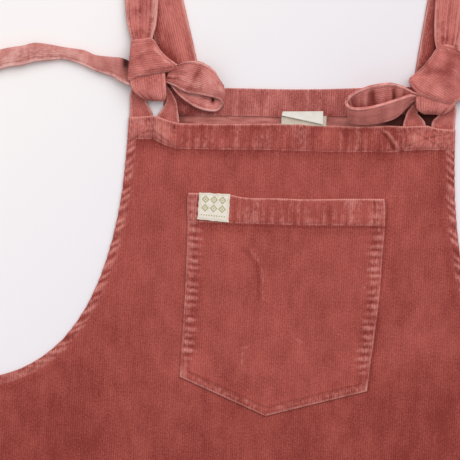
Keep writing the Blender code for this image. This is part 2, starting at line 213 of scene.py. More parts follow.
def line_distance(x: Array, y: Array, path: Path) -> Array:
    """Distance of points from a path.

    Args:
        x: their places across the pattern.
        y: their places along it.
        path: the ends of its straight stretches.

    Returns:
        The distance of each point.
    """
    nearest = np.full(x.shape, np.inf)
    for (x0, y0), (x1, y1) in zip(path, path[1:]):
        run = (x1 - x0) ** 2 + (y1 - y0) ** 2
        share = capped(((x - x0) * (x1 - x0) + (y - y0) * (y1 - y0)) / run)
        nearest = np.minimum(nearest, np.hypot(x - mix(x0, x1, share), y - mix(y0, y1, share)))
    return nearest


def unit(vectors: Array) -> Array:
    """The directions of vectors."""
    return vectors / np.maximum(np.linalg.norm(vectors, axis=-1, keepdims=True), 1e-12)


def run_of(path: Array) -> Array:
    """How far along a path each of its points is."""
    return np.r_[0.0, np.cumsum(np.linalg.norm(np.diff(path, axis=0), axis=1))]


def points_at(path: Array, run: Array, places: Array) -> Array:
    """Points at distances along a path."""
    return stacked(*(np.interp(places, run, column) for column in path.T))


def spread(length: float, fine: float, coarse: float, reach: float) -> Array:
    """Places along a length, closer together at both its ends.

    Args:
        length: the whole length.
        fine: the step near an end.
        coarse: the step between.
        reach: how far from an end the step is fine.

    Returns:
        The places, as shares of the length.
    """
    edge = np.arange(0.0, reach, fine)
    inner = np.linspace(reach, length - reach, max(2, round((length - 2 * reach) / coarse)))
    return np.r_[edge, inner, length - edge[::-1]] / length


def in_row_frame(points: Array) -> Array:
    """Points of the drawing as they lie in the row frame, in metres."""
    return (points + np.array((0.0, BIB_TOP_Y, 0.0))) * MM


def mesh_of(name: str, shape: bmesh.types.BMesh) -> bpy.types.Mesh:
    """A mesh with the shape of a bmesh, which is let go."""
    mesh = bpy.data.meshes.new(name)
    shape.to_mesh(mesh)
    shape.free()
    return mesh


def linked(data: bpy.types.ID) -> Piece:
    """An object of the scene that holds the data and has its name."""
    thing = bpy.data.objects.new(data.name, data)
    bpy.context.scene.collection.objects.link(thing)
    return thing


# ---- Finishes ------------------------------------------------------------------------------------
def operator(operation: str) -> Callable[..., "Signal"]:
    """A method that adds the node of an operation, for the signal and what follows the sign."""
    return lambda signal, *values: signal.wiring.math(operation, signal, *values)


@dataclass(frozen=True, eq=False)
class Signal:
    """What a node gives at each point; arithmetic on it adds the nodes that work it out."""

    wiring: "Wiring"
    socket: bpy.types.NodeSocket

    __add__ = operator("ADD")
    __sub__ = operator("SUBTRACT")
    __mul__ = operator("MULTIPLY")
    __truediv__ = operator("DIVIDE")
    __pow__ = operator("POWER")
    __abs__ = operator("ABSOLUTE")
    # 1 where it holds, else 0.
    __lt__ = operator("LESS_THAN")
    __gt__ = operator("GREATER_THAN")

    def __rsub__(self, other: float) -> "Signal":
        """The difference from a number."""
        return self.wiring.math("SUBTRACT", other, self)


class Wiring:
    """Adds and joins the nodes of one material."""

    def __init__(self, name: str) -> None:
        """Start a material with its shader."""
        self.material = bpy.data.materials.new(name)
        self.material.use_nodes = True
        self.tree = self.material.node_tree
        self.shader = self.tree.nodes["Principled BSDF"]

    def feed(self, node: bpy.types.Node, inputs: Inputs) -> None:
        """Join a node's inputs to signals, or give them numbers, vectors or colours."""
        for key, value in inputs.items():
            socket = node.inputs[key]
            if isinstance(value, Signal):
                self.tree.links.new(value.socket, socket)
            else:
                socket.default_value = (*value, 1.0) if socket.type == "RGBA" else value

    def node(self, kind: str, inputs: Inputs, output: int = 0, **settings: object) -> Signal:
        """Add a node.

        Args:
            kind: the node's type.
            inputs: what each input gets, by its place or name.
            output: the place of the output that is wanted.
            **settings: properties of the node.

        Returns:
            What the wanted output gives.
        """
        node = self.tree.nodes.new(kind)
        for key, value in settings.items():
            setattr(node, key, value)
        self.feed(node, inputs)
        return Signal(self, node.outputs[output])

    def math(self, operation: str, *values: Signal | float) -> Signal:
        """A sum, product or other operation on numbers."""
        return self.node("ShaderNodeMath", dict(enumerate(values)), operation=operation)

    def part(self, vector: Signal, axis: int) -> Signal:
        """One of a vector's three numbers."""
        return self.node("ShaderNodeSeparateXYZ", {0: vector}, axis)

    def noise(self, vector: Signal, scale: Colour, detail: float = 2.0, roughness: float = 0.5) -> Signal:
        """Cloudy noise, from 0 to 1, with so many clouds in a metre each way."""
        scaled = self.node("ShaderNodeVectorMath", {0: vector, 1: scale}, operation="MULTIPLY")
        return self.node("ShaderNodeTexNoise", {"Vector": scaled, "Scale": 1.0, "Detail": detail,
                                                "Roughness": roughness})

    def span(self, value: Signal, low: float, high: float, start: float = 0.0, end: float = 1.0) -> Signal:
        """Value from low to high mapped to start to end, and held there."""
        return self.node("ShaderNodeMapRange", {0: value, 1: low, 2: high, 3: start, 4: end})

    def blend(self, share: Signal, first: Signal | Colour, second: Signal | Colour) -> Signal:
        """A colour between two."""
        return self.node("ShaderNodeMix", {0: share, 6: first, 7: second}, 2, data_type="RGBA")

    def mark(self, name: str) -> Signal:
        """A number that the mesh carries at each point."""
        return self.node("ShaderNodeAttribute", {}, 2, attribute_name=name)

    def cloth_place(self) -> Signal:
        """Place on the cloth, in metres across and along its cords."""
        return self.node("ShaderNodeUVMap", {}, uv_map="cords")

    def place(self) -> Signal:
        """Place in the row frame, which is that of a piece that stands at the origin."""
        return self.node("ShaderNodeTexCoord", {}, 3)

    def cloth(self, colour: Signal, height: Signal, roughness: float, sheen: float,
              tint: Colour) -> bpy.types.Material:
        """Give the shader its colour, its relief in millimetres and a cloth's dull gloss."""
        bump = self.node("ShaderNodeBump", {"Height": height, "Distance": MM, "Strength": 1.0})
        self.feed(self.shader, {"Base Color": colour, "Normal": bump, "Roughness": roughness,
                                "Specular IOR Level": 0.15, "Sheen Weight": sheen,
                                "Sheen Roughness": 0.45, "Sheen Tint": tint})
        return self.material


DEEP: Colour = (0.050, 0.012, 0.009)      # where hardly any light gets in


@dataclass(frozen=True)
class Corduroy:
    """Fine corduroy: rounded cords of cut pile, washed unevenly and worn pale at its edges, darkened with
    painted shade where its points are marked for it.
    """

    name: str
    groove: Colour           # deep pile, between and low on the cords
    pile: Colour             # tops of the cords
    worn: Colour             # rubbed pile
    relief: float = 0.26
    contrast: float = 0.24   # how much of the tone the cords take
    streak: float = 0.26     # how much of it single cords take, along themselves
    grain: float = 1.20      # how much of it the ruffled pile takes
    wash: float = 0.75       # how much of it the wash takes
    mottle: float = 0.55     # how much of it smaller clouds take
    darkening: float = 0.0        # how much darker the cloth gets from the upper to the lower of the two heights of the row frame, and a little towards the right
    darkening_y: tuple[float, float] = (20.0, 170.0)

    def material(self) -> bpy.types.Material:
        """Build the finish."""
        w = Wiring(self.name)
        place = w.cloth_place()
        across, along = w.part(place, 0), w.part(place, 1)
        phase = across / (WALE * MM) + (w.noise(place, (60, 25, 1)) - 0.5) * 0.55
        rib = 1.0 - abs(w.math("FRACT", phase) * 2.0 - 1.0) ** 2.4
        single = w.node("ShaderNodeCombineXYZ", {0: w.math("FLOOR", phase) * 7.31, 1: along})
        nap = w.noise(place, (1500, 620, 1), roughness=0.6)
        patchy = w.noise(place, (105, 65, 1))
        tone = (rib - 0.62) * w.span(w.noise(place, (50, 30, 1), 1.0), 0.38, 0.66, 0.15, 1.25)
        tone = tone * self.contrast + 0.5
        for clouds, share in ((w.noise(single, (1, 45, 1), 1.0), self.streak), (nap, 0.40),
                              (w.noise(place, (760, 680, 1)), self.grain),
                              (w.noise(place, (28, 20, 1), 3.0), self.wash), (patchy, self.mottle)):
            tone += (clouds - 0.5) * share
        # Darker towards the bottom of the row frame and a little towards the right.
        if self.darkening:
            low, high = (height * MM for height in self.darkening_y)
            tone -= w.span(w.part(w.place(), 1), high, low, 0.0, self.darkening)
            tone -= w.span(across, 0.05, 0.13, 0.0, 0.4 * self.darkening)
        press, wear = w.mark("press"), w.mark("wear")
        # Painted shade: the point mark darkens the cords, from 1 to 2 it turns them to DEEP, and below 0 it
        # paints them paler.
        base = w.blend(w.span(tone - press * 0.62, 0.0, 1.0), self.groove, self.pile)
        marks = (w.noise(place, (480, 260, 1), 1.0) - 0.5) * 1.05 + (patchy - 0.5) * 0.8
        rubbed_pile = w.span(wear + marks * w.span(wear, 0.0, 0.22), 0.12, 1.0)
        colour = w.blend(rubbed_pile * w.span(rib, 0.0, 1.0, 0.62, 1.0), base, self.worn)
        colour = w.blend(w.span(press, 1.0, 2.0), colour, DEEP)
        height = rib * self.relief + nap * 0.10 + patchy * 0.25
        return w.cloth(colour, height, 0.93, 0.12, (0.95, 0.55, 0.48))


@dataclass(frozen=True)
class WrongSide:
    """The back of the corduroy: a smooth, paler twill with only a hint of the cords."""

    name: str
    dark: Colour
    pale: Colour

    def material(self) -> bpy.types.Material:
        """Build the finish."""
        w = Wiring(self.name)
        place, press = w.cloth_place(), w.mark("press")
        yarn = w.noise(place, (1400, 1400, 1))
        twill = w.node("ShaderNodeTexWave", {"Vector": place, "Scale": 420.0, "Distortion": 1.5,
                                             "Detail": 1.0}, 1, bands_direction="DIAGONAL")
        tone = (yarn - 0.5) * 0.5 + (w.noise(place, (70, 300, 1), 3.0) - 0.5) * 2.2 + (twill - 0.5) * 0.12
        # Painted shade: the point mark darkens the twill and, from 0.8 to 1.8, turns it to DEEP.
        colour = w.blend(w.span(tone + 0.5 - press * 0.6, 0.0, 1.0), self.dark, self.pale)
        colour = w.blend(w.span(press, 0.8, 1.8), colour, DEEP)
        return w.cloth(colour, yarn * 0.08 + twill * 0.05, 0.95, 0.15, (0.95, 0.7, 0.64))


class Motif(Enum):
    """What is woven into a label."""

    BARE = "bare"
    DIAMONDS = "diamonds"


@dataclass(frozen=True)
class WovenLabel:
    """A cream woven label, bare or with a plain khaki geometric motif."""

    name: str
    cream: Colour
    shade: Colour
    khaki: Colour = (0.430, 0.375, 0.165)
    motif: Motif = Motif.BARE
    repeat: float = 7.1
    margin: float = 2.1
    foot: float = 6.6

    def diamonds(self, w: Wiring, place: Signal) -> Signal:
        """Two rows of nested diamonds over a row of small bars, 1 where the khaki yarn shows."""
        def fold(value: Signal, pitch: float) -> Signal:
            """Distance from the middle of each repeat, from 0 to 1."""
            return abs(w.math("FRACT", value / pitch) * 2.0 - 1.0)

        across, along = w.part(place, 0) / MM, w.part(place, 1) / MM
        right, up = across - self.margin, along - self.foot
        reach = fold(right, self.repeat) + fold(up, self.repeat)
        shape = w.math("MAXIMUM", abs(reach - 0.72) < 0.19, reach < 0.24)
        sides = (right > 0.0) * (right < 3 * self.repeat)
        bars = (fold(across, 2.1) < 0.5) * (abs(up + 2.4) < 0.45)
        return w.math("MAXIMUM", shape * (up > 0.0) * (up < 2 * self.repeat), bars) * sides

    def material(self) -> bpy.types.Material:
        """Build the finish."""
        w = Wiring(self.name)
        place = w.cloth_place()
        yarn = w.noise(place, (2600, 900, 1), 1.0)
        rows = w.node("ShaderNodeTexWave", {"Vector": place, "Scale": 330.0, "Distortion": 0.6}, 1,
                      bands_direction="Y")
        # Painted shade: the point mark darkens the label.
        tone = yarn * 0.45 + rows * 0.18 + w.noise(place, (160, 160, 1)) * 0.5 - w.mark("press") * 0.8
        colour = w.blend(w.span(tone, 0.1, 0.85), self.shade, self.cream)
        height = yarn * 0.10 + rows * 0.06
        if self.motif is Motif.DIAMONDS:
            shape = self.diamonds(w, place)
            colour = w.blend(shape * w.span(yarn, 0.3, 0.7, 0.70, 1.0), colour, self.khaki)
            height += shape * 0.12
        return w.cloth(colour, height, 0.85, 0.10, (1.0, 0.97, 0.9))


@dataclass(frozen=True)
class Thread:
    """Matt sewing thread, dyed with the dress."""

    name: str
    dark: Colour
    pale: Colour

    def material(self) -> bpy.types.Material:
        """Build the finish."""
        w = Wiring(self.name)
        place = w.place()
        colour = w.blend(w.span(w.noise(place, (260, 260, 260)), 0.3, 0.7), self.dark, self.pale)
        ply = w.noise(place, (2500, 2500, 2500), 1.0)
        return w.cloth(colour, ply * 0.06, 0.8, 0.1, (1.0, 0.8, 0.75))


class Slot(Enum):
    """The record's material slots."""

    FRONT = "corduroy"
    STRAP = "corduroy_strap"
    INSIDE = "corduroy_inside"
    LABEL = "woven_label"


class Finish(Enum):
    """The finishes of the dress, each with the record's slot that it belongs to."""

    FRONT = Slot.FRONT, Corduroy(
        "front_corduroy", (0.235, 0.037, 0.029), (0.525, 0.124, 0.101), (0.69, 0.28, 0.24), darkening=0.30)
    POCKET = Slot.FRONT, Corduroy(
        "pocket_corduroy", (0.235, 0.037, 0.029), (0.525, 0.124, 0.101), (0.70, 0.29, 0.25), darkening=0.17)
    STRAP = Slot.STRAP, Corduroy(
        "strap_corduroy", (0.275, 0.052, 0.043), (0.62, 0.19, 0.162),
        (0.76, 0.38, 0.335), contrast=0.34, streak=0.16, wash=1.1, mottle=1.1)
    KNOT = Slot.STRAP, Corduroy(
        "knot_corduroy", (0.31, 0.066, 0.055), (0.69, 0.222, 0.192),
        (0.78, 0.41, 0.368), contrast=0.11, streak=0.12, wash=1.1, mottle=1.1, grain=0.8)
    BOW = Slot.STRAP, Corduroy(
        "bow_corduroy", (0.34, 0.074, 0.062), (0.78, 0.275, 0.24),
        (0.83, 0.46, 0.415), contrast=0.34, streak=0.20, wash=0.9, mottle=0.8, grain=0.9)
    TAIL = Slot.STRAP, Corduroy(
        "tail_corduroy", (0.42, 0.135, 0.116), (0.76, 0.33, 0.292),
        (0.83, 0.52, 0.475), contrast=0.08, streak=0.10, wash=1.2, mottle=1.1, grain=0.6, relief=0.12)
    BACK_HEM = Slot.STRAP, Corduroy(
        "facing_corduroy", (0.25, 0.046, 0.04), (0.60, 0.185, 0.16),
        (0.74, 0.35, 0.31), contrast=0.34, mottle=0.9)
    LOOP = Slot.FRONT, Corduroy(
        "loop_corduroy", (0.26, 0.046, 0.038), (0.62, 0.185, 0.158),
        (0.74, 0.35, 0.31), contrast=0.38, mottle=0.9)
    INSIDE = Slot.INSIDE, WrongSide("wrong_side_twill", (0.33, 0.098, 0.082), (0.61, 0.232, 0.20))
    LABEL = Slot.LABEL, WovenLabel("cream_label", (0.88, 0.84, 0.79), (0.64, 0.58, 0.50))
    CARE = Slot.LABEL, WovenLabel("care_label", (0.70, 0.61, 0.51), (0.42, 0.33, 0.26))
    PATCH = Slot.LABEL, WovenLabel(
        "motif_patch", (0.905, 0.845, 0.765), (0.64, 0.56, 0.44), motif=Motif.DIAMONDS)
    THREAD = Slot.FRONT, Thread("front_thread", (0.30, 0.07, 0.058), (0.52, 0.165, 0.14))
    STRAP_THREAD = Slot.STRAP, Thread("strap_thread", (0.42, 0.13, 0.112), (0.66, 0.29, 0.255))

    def __init__(self, slot: Slot, look: Corduroy | WrongSide | WovenLabel | Thread) -> None:
        """Keep the slot and the look."""
        self.slot = slot
        self.look = look

    def dress(self, piece: Piece) -> None:
        """Give a piece this finish."""
        piece.data.materials.append(bpy.data.materials.get(self.look.name) or self.look.material())


# ---- Making of cloth -----------------------------------------------------------------------------
@dataclass
class Surface:
    """Where the points of a slab lie, and what its cloth shows there."""

    points: Array
    cords: Array
    wear: Array | float = 0.0
    # Painted shade, with uneven tone: more darkens the cloth, below 0 it is painted paler
    press: Array | float = 0.0


Rule = Callable[[Array, Array, Array], Surface]


def signed_volume(mesh: bpy.types.Mesh, points: Array) -> float:
    """Six times the volume inside a closed mesh, negative if its faces point inwards."""
    mesh.calc_loop_triangles()
    corners = np.empty(len(mesh.loop_triangles) * 3, np.int32)
    mesh.loop_triangles.foreach_get("vertices", corners)
    a, b, c = (points[corners[start::3]] for start in range(3))
    return float(np.einsum("ij,ij->i", a, np.cross(b, c)).sum())


def enter(piece: Piece, finish: Finish, *nodes: str) -> Piece:
    """Dress a piece, fasten it to the dress and let it stand for its node.

    Args:
        piece: the finished mesh.
        finish: what it is made of.
        *nodes: the frame's nodes that it replaces.

    Returns:
        The piece.
    """
    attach(piece, BODY)
    finish.dress(piece)
    if nodes:
        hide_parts(*nodes)
    LOG.info("%s: %d faces, for %s", piece.name, len(piece.data.polygons), ", ".join(nodes) or "detail")
    return piece


def cloth_slab(name: str, finish: Finish, across: Array, along: Array, rule: Rule) -> Piece:
    """Make and dress a closed slab of cloth, which stands for the node of its name.

    Args:
        name: the name of the node.
        finish: what the cloth is.
        across: the places of its columns, from 0 to 1.
        along: the places of its rows, from 0 to 1.
        rule: gives the surface for arrays of u, v and w, as it is drawn.

    Returns:
        The piece, at the origin, with its mesh in the row frame.
    """
    sheet = bmesh.new()
    bmesh.ops.create_grid(sheet, x_segments=len(across) - 1, y_segments=len(along) - 1, size=0.5)
    bmesh.ops.solidify(sheet, geom=sheet.faces[:], thickness=1.0)
    mesh = mesh_of(name + "_cloth", sheet)
    flat = np.empty(len(mesh.vertices) * 3)
    mesh.vertices.foreach_get("co", flat)
    flat = flat.reshape(-1, 3)
    u = np.interp(flat[:, 0] + 0.5, even(len(across)), across)
    v = np.interp(flat[:, 1] + 0.5, even(len(along)), along)
    surface = rule(u, v, flat[:, 2] - flat[:, 2].min())
    points = in_row_frame(surface.points)
    mesh.vertices.foreach_set("co", points.ravel())
    if signed_volume(mesh, points) < 0:
        mesh.flip_normals()
    corner = np.empty(len(mesh.loops), np.int32)
    mesh.loops.foreach_get("vertex_index", corner)
    cords = surface.cords[corner] * MM
    mesh.uv_layers.new(name="cords").data.foreach_set("uv", cords.ravel())
    for mark, values in (("wear", surface.wear), ("press", surface.press)):
        layer = mesh.attributes.new(mark, "FLOAT", "POINT")
        layer.data.foreach_set("value", np.broadcast_to(values, u.shape).astype(np.float32))
    mesh.shade_smooth()
    mesh.set_sharp_from_angle(angle=math.radians(55))
    return enter(linked(mesh), finish, name)


def between(under: Array, upper: Array, share: Array, w: Array) -> Array:
    """Height of a slab's point: its two faces close in on each other where its edge rolls."""
    return (under + upper) / 2 + (w - 0.5) * (upper - under) * share


def worn_and_shaded(relief: Array, wear: Array | float, press: Array | float) -> Array:
    """What the crests of a relief from -1 to 1 add to the wear, and its troughs to the painted shade; on a
    relief of mere clouds, paler and darker tone.
    """
    return np.array((wear * capped(relief), press * capped(-relief)))


@dataclass(frozen=True)
class Pucker:
    """Small ridges across a sewn line, uneven in height and spacing."""

    pitch: float
    height: float
    reach: float
    slant: float = 0.0
    seed: float = 0.0

    def wave(self, along: Array, away: Array) -> Array:
        """The ridges, which are wide at their crests and fade away from the line.

        Args:
            along: places along the sewn line.
            away: distances from it.

        Returns:
            Values from -1 to 1.
        """
        place = along + self.slant * away
        strength = 0.70 + 0.30 * wander(along, 3.7 * self.pitch, self.seed + 1.0)
        turn = 2 * math.pi * place / self.pitch + 1.15 * wander(place, 3.1 * self.pitch, self.seed)
        crests = 1.0 - 2.0 * ((1.0 - np.sin(turn)) / 2.0) ** 1.8
        return crests * strength * bell(away, self.reach)


@dataclass(frozen=True)
class Fold:
    """A soft ridge, or a trough if its height is negative, along a path of the pattern."""

    path: Path
    width: float
    height: float

    def rise(self, x: Array, y: Array) -> Array:
        """Height of the fold at points of the pattern."""
        return self.height * bell(line_distance(x, y, self.path), self.width)


def relief_of(folds: Sequence[Fold], x: Array, y: Array) -> Array:
    """Height that folds have together at points of the pattern."""
    return sum(fold.rise(x, y) for fold in folds)


# ---- The pattern and how it lies -----------------------------------------------------------------
@dataclass
class Armhole:
    """Half of a bib's side edge: a cubic curve from the bib's top corner to the underarm."""

    controls: Path
    edge: Array = field(init=False)
    inward: Array = field(init=False)
    run: Array = field(init=False)

    def __post_init__(self) -> None:
        """Work out the curve at even steps along it."""
        t = even(1200)[:, None]
        p0, p1, p2, p3 = (np.array(point) for point in self.controls)
        curve = (1 - t) ** 3 * p0 + 3 * t * (1 - t) ** 2 * p1 + 3 * t ** 2 * (1 - t) * p2 + t ** 3 * p3
        run = run_of(curve)
        self.run = np.linspace(0.0, run[-1], 500)
        self.edge = points_at(curve, run, self.run)
        along = np.gradient(self.edge, axis=0)
        along /= np.hypot(*along.T)[:, None]
        self.inward = stacked(along[:, 1], -along[:, 0])

    def at(self, along: Array, inside: Array | float) -> tuple[Array, Array]:
        """The place at a distance along the edge and a distance inside it."""
        (x, y), (nx, ny) = (points_at(path, self.run, along).T for path in (self.edge, self.inward))
        return x + nx * inside, y + ny * inside

    def down_to(self, depth: float) -> float:
        """How far along the edge the place is that lies so far below the bib's top."""
        return float(np.interp(depth, -self.edge[:, 1], self.run))

    def half(self, y: Array, inside: float = 0.0) -> Array:
        """Half the bib's width at height y, to the line that runs inside the edge."""
        line = self.edge + self.inward * inside
        return np.interp(-np.asarray(y), -line[:, 1], line[:, 0])

    def measure(self, x: Array, y: Array) -> tuple[Array, Array]:
        """Measure points of the bib from this edge.

        Args:
            x: their places across the pattern.
            y: their places along it.

        Returns:
            How far along the edge the nearest point of it is, and how far away.
        """
        points = self.edge[::2]
        along, away = np.empty(x.shape), np.empty(x.shape)
        for part in np.array_split(np.arange(len(x)), 1 + len(x) // 20000):
            gaps = np.hypot(x[part, None] - points[:, 0], y[part, None] - points[:, 1])
            nearest = gaps.argmin(axis=1)
            along[part], away[part] = self.run[::2][nearest], gaps[np.arange(len(part)), nearest]
        return along, away


FRONT_ARMHOLE = Armhole(((134.8, 0.0), (134.7, -128.8), (166.5, -215.3), (UNDERARM_HALF, UNDERARM_Y)))
BACK_ARMHOLE = Armhole(((119.0, 31.0), (116.0, -98.0), (152.0, -214.0), (UNDERARM_HALF, UNDERARM_Y)))
BACK_TOP = float(BACK_ARMHOLE.edge[0, 1])


def side_half(y: Array) -> Array:
    """Half the skirt's width at height y."""
    return mix(UNDERARM_HALF, HEM_HALF, (y - UNDERARM_Y) / (-DRESS_DROP - UNDERARM_Y))


def hem_lift(x: Array, y: Array) -> Array:
    """How far a point of the skirt is raised along Y by the curve of the hem."""
    return HEM_RISE * (x / HEM_HALF) ** 2 * smooth(UNDERARM_Y, -DRESS_DROP, y)


@dataclass(frozen=True)
class FrontLay:
    """How the front lies on the back: its lean, its heights and its larger folds."""

    tilt: float = 0.020
    tilt_fade: float = 120.0
    pull_fade: float = 38.0
    # Across the bib: place, then how far the top edge and the band's lower line are moved up.
    pulls: Table = (
        (-136, -0.6, 1.6), (-125, 0.1, 2.6), (-114, 1.4, 3.1), (-109, 0.4, 0.9), (-103, -1.9, -1.9),
        (-93, -3.9, -4), (-60, -3, -3), (-30, -1.2, -1.7), (0, 0.2, -1), (31, 0.1, -0.7),
        (57, 0.4, 0.6), (81, 2.4, 1.4), (94, 2.1, 3.2), (111, 3.9, 4.7), (120, 1.6, 5.4), (136, 1.4, 5))
    loop_place: float = 124.0
    loop_lift: tuple[float, float] = (1.0, 2.1)
    base: float = CLOTH + SEAM
    # Share of the way from the middle to the side, and strength.
    flutes: Table = ((-0.72, 0.8), (-0.31, 1.0), (0.12, 0.7), (0.47, 1.0), (0.80, 0.6))
    flute_start: float = -360.0
    flute_height: float = 2.2
    flute_width: float = 55.0
    edge_dip: float = 1.1
    folds: tuple[Fold, ...] = (
        Fold(((-228, -236), (-170, -262), (-120, -300)), 9, 0.9),
        Fold(((-205, -246), (-150, -300), (-128, -350)), 8, -0.6),
        Fold(((225, -238), (168, -268), (130, -330)), 10, 0.9),
        Fold(((-104, -120), (-112, -190), (-104, -250)), 7, 0.5),
        Fold(((98, -85), (104, -150), (96, -230)), 8, 0.6),
        Fold(((20, -262), (60, -275), (104, -268)), 7, 0.5),
        Fold(((-20, -290), (-32, -420), (-18, -560)), 12, 1.0),
        Fold(((150, -330), (172, -480), (190, -640)), 14, 1.2),
        Fold(((-150, -400), (-176, -520), (-190, -700)), 13, 1.1),
    )

    def lean(self, x: Array, y: Array) -> Array:
        """How far a point is moved along Y: the bib leans, and its loops pull it up."""
        place, top, line = np.array(self.pulls).T
        at_top, at_line = (softened(place, pull, x, 400, 17) for pull in (top, line))
        lean = self.tilt * x * smooth(-self.tilt_fade, -TOP_HEM, y)
        in_band = mix(at_line, at_top, smooth(-TOP_HEM, 0.0, y))
        below = mix(lean, at_line, smooth(-TOP_HEM - self.pull_fade, -TOP_HEM, y))
        return np.where(y > -TOP_HEM, in_band, below) + hem_lift(x, y)

    def over_loops(self, x: Array, y: Array) -> Array:
        """How far the band is lifted by the loops that are sewn behind it."""
        out, inner = self.loop_lift
        place = np.abs(x)
        lift = out * smooth(84, 92, place) + inner * smooth(84, 94, place) * smooth(119, 110, place)
        return lift * smooth(-TOP_HEM - 4, -13, y)

    def under(self, x: Array, y: Array, inside: Array | float = FAR) -> Array:
        """Height of the front's under face.

        Args:
            x: places across the pattern.
            y: places along it.
            inside: distance from the armhole's edge, where the front dips towards the surface.

        Returns:
            The heights.
        """
        from_side = side_half(y) - np.abs(x)
        flutes = sum(strength * bell(x - share * side_half(y), self.flute_width)
                     for share, strength in self.flutes)
        flutes = flutes * smooth(self.flute_start, -DRESS_DROP, y) * smooth(0.0, self.flute_width, from_side)
        over_hem = smooth(-DRESS_DROP + 3 * BOTTOM_HEM, -DRESS_DROP + BOTTOM_HEM, y)
        drift = 0.35 * (1 + blotches(x, y, 52.0, 3)) + 0.14 * (1 + blotches(x, y, 19.0, 5))
        drift = (drift + relief_of(self.folds, x, y)) * smooth(0, 14, inside) * smooth(0, 14, from_side)
        height = self.base + CLOTH * over_hem + self.flute_height * flutes + self.over_loops(x, y)
        return height + drift - self.edge_dip * smooth(13.0, 0.0, inside)


LAY = FrontLay()
ARMHOLE_RIDGE = 0.55
BAND_PUCKER = Pucker(6.6, 0.30, 13.0, seed=2.1)
HEM_PUCKER = Pucker(8.0, 0.40, 12.0, slant=0.7, seed=4.2)


# Broad darker and paler clouds on bib and pocket: place and reach across and up, and how much darker.
CLOUDS: Table = (
    (-103, -121, 14, 26, 0.3), (-57, -136, 17, 8, 0.28), (3, -100, 12, 12, 0.3), (38, -131, 18, 16, 0.3),
    (91, -125, 12, 28, 0.32), (72, -171, 9, 14, 0.28), (-28, -221, 10, 10, 0.25), (-152, -222, 14, 12, 0.3),
    (-188, -245, 20, 16, 0.38), (29, -33, 26, 9, 0.25), (-85, -156, 15, 11, 0.25), (106, -173, 17, 15, -0.4),
    (-70, -202, 15, 13, -0.4), (-11, -233, 13, 12, -0.32), (-17, -196, 14, 10, -0.3),
    (53, -192, 12, 15, -0.3), (-106, -233, 14, 11, -0.28), (-58, -117, 9, 8, -0.26),
    (51, -60, 9, 9, 0.35), (-27, -76, 9, 9, 0.35),
    (-11, -67, 8, 8, -0.3), (68, -72, 8, 9, -0.35), (-4, -72, 4, 11, 0.2), (33, -72, 3, 11, 0.25))


def cloudy(x: Array, y: Array, table: Table = CLOUDS) -> Array:
    """How much darker points are, from a table of clouds."""
    return sum(depth * bell(np.hypot((x - across) / wide, (y - up) / high), 1.0)
               for across, up, wide, high, depth in table)


def armhole_ridges(along: Array, away: Array) -> Array:
    """Ridges roped across an armhole's hem, fine at its top, wide and leaning towards the underarm.

    Args:
        along: distance down the armhole's edge.
        away: distance inside it.

    Returns:
        The ridges, from -1 to 1.
    """
    lean = 0.30 + 0.40 * smooth(15, 110, along) + 0.55 * smooth(100, 170, along)
    place = along + (lean + 0.05 * away) * away + 0.35 * wander(away + 0.3 * along, 6.0, 2.0)
    turns = place / 11.0 + 6.0 * (1 - np.exp(-place / 38.0)) + 0.30 * wander(place, 23.0, 0.4)
    strength = (0.76 + 0.24 * wander(place - 0.8 * away, 15.0, 1.9)) * smooth(265, 185, along)
    wave = np.sin(2 * math.pi * turns)
    roped = np.where(wave > 0, wave, -1.25 * np.abs(wave) ** 2.5)
    return roped * strength * smooth(8.5, 5.0, away)


def placed(x: Array, y: Array, z: Array | float) -> Array:
    """Points of the front where they lie, none of them below the surface."""
    return stacked(x, y + LAY.lean(x, y), np.maximum(z, 0.05))


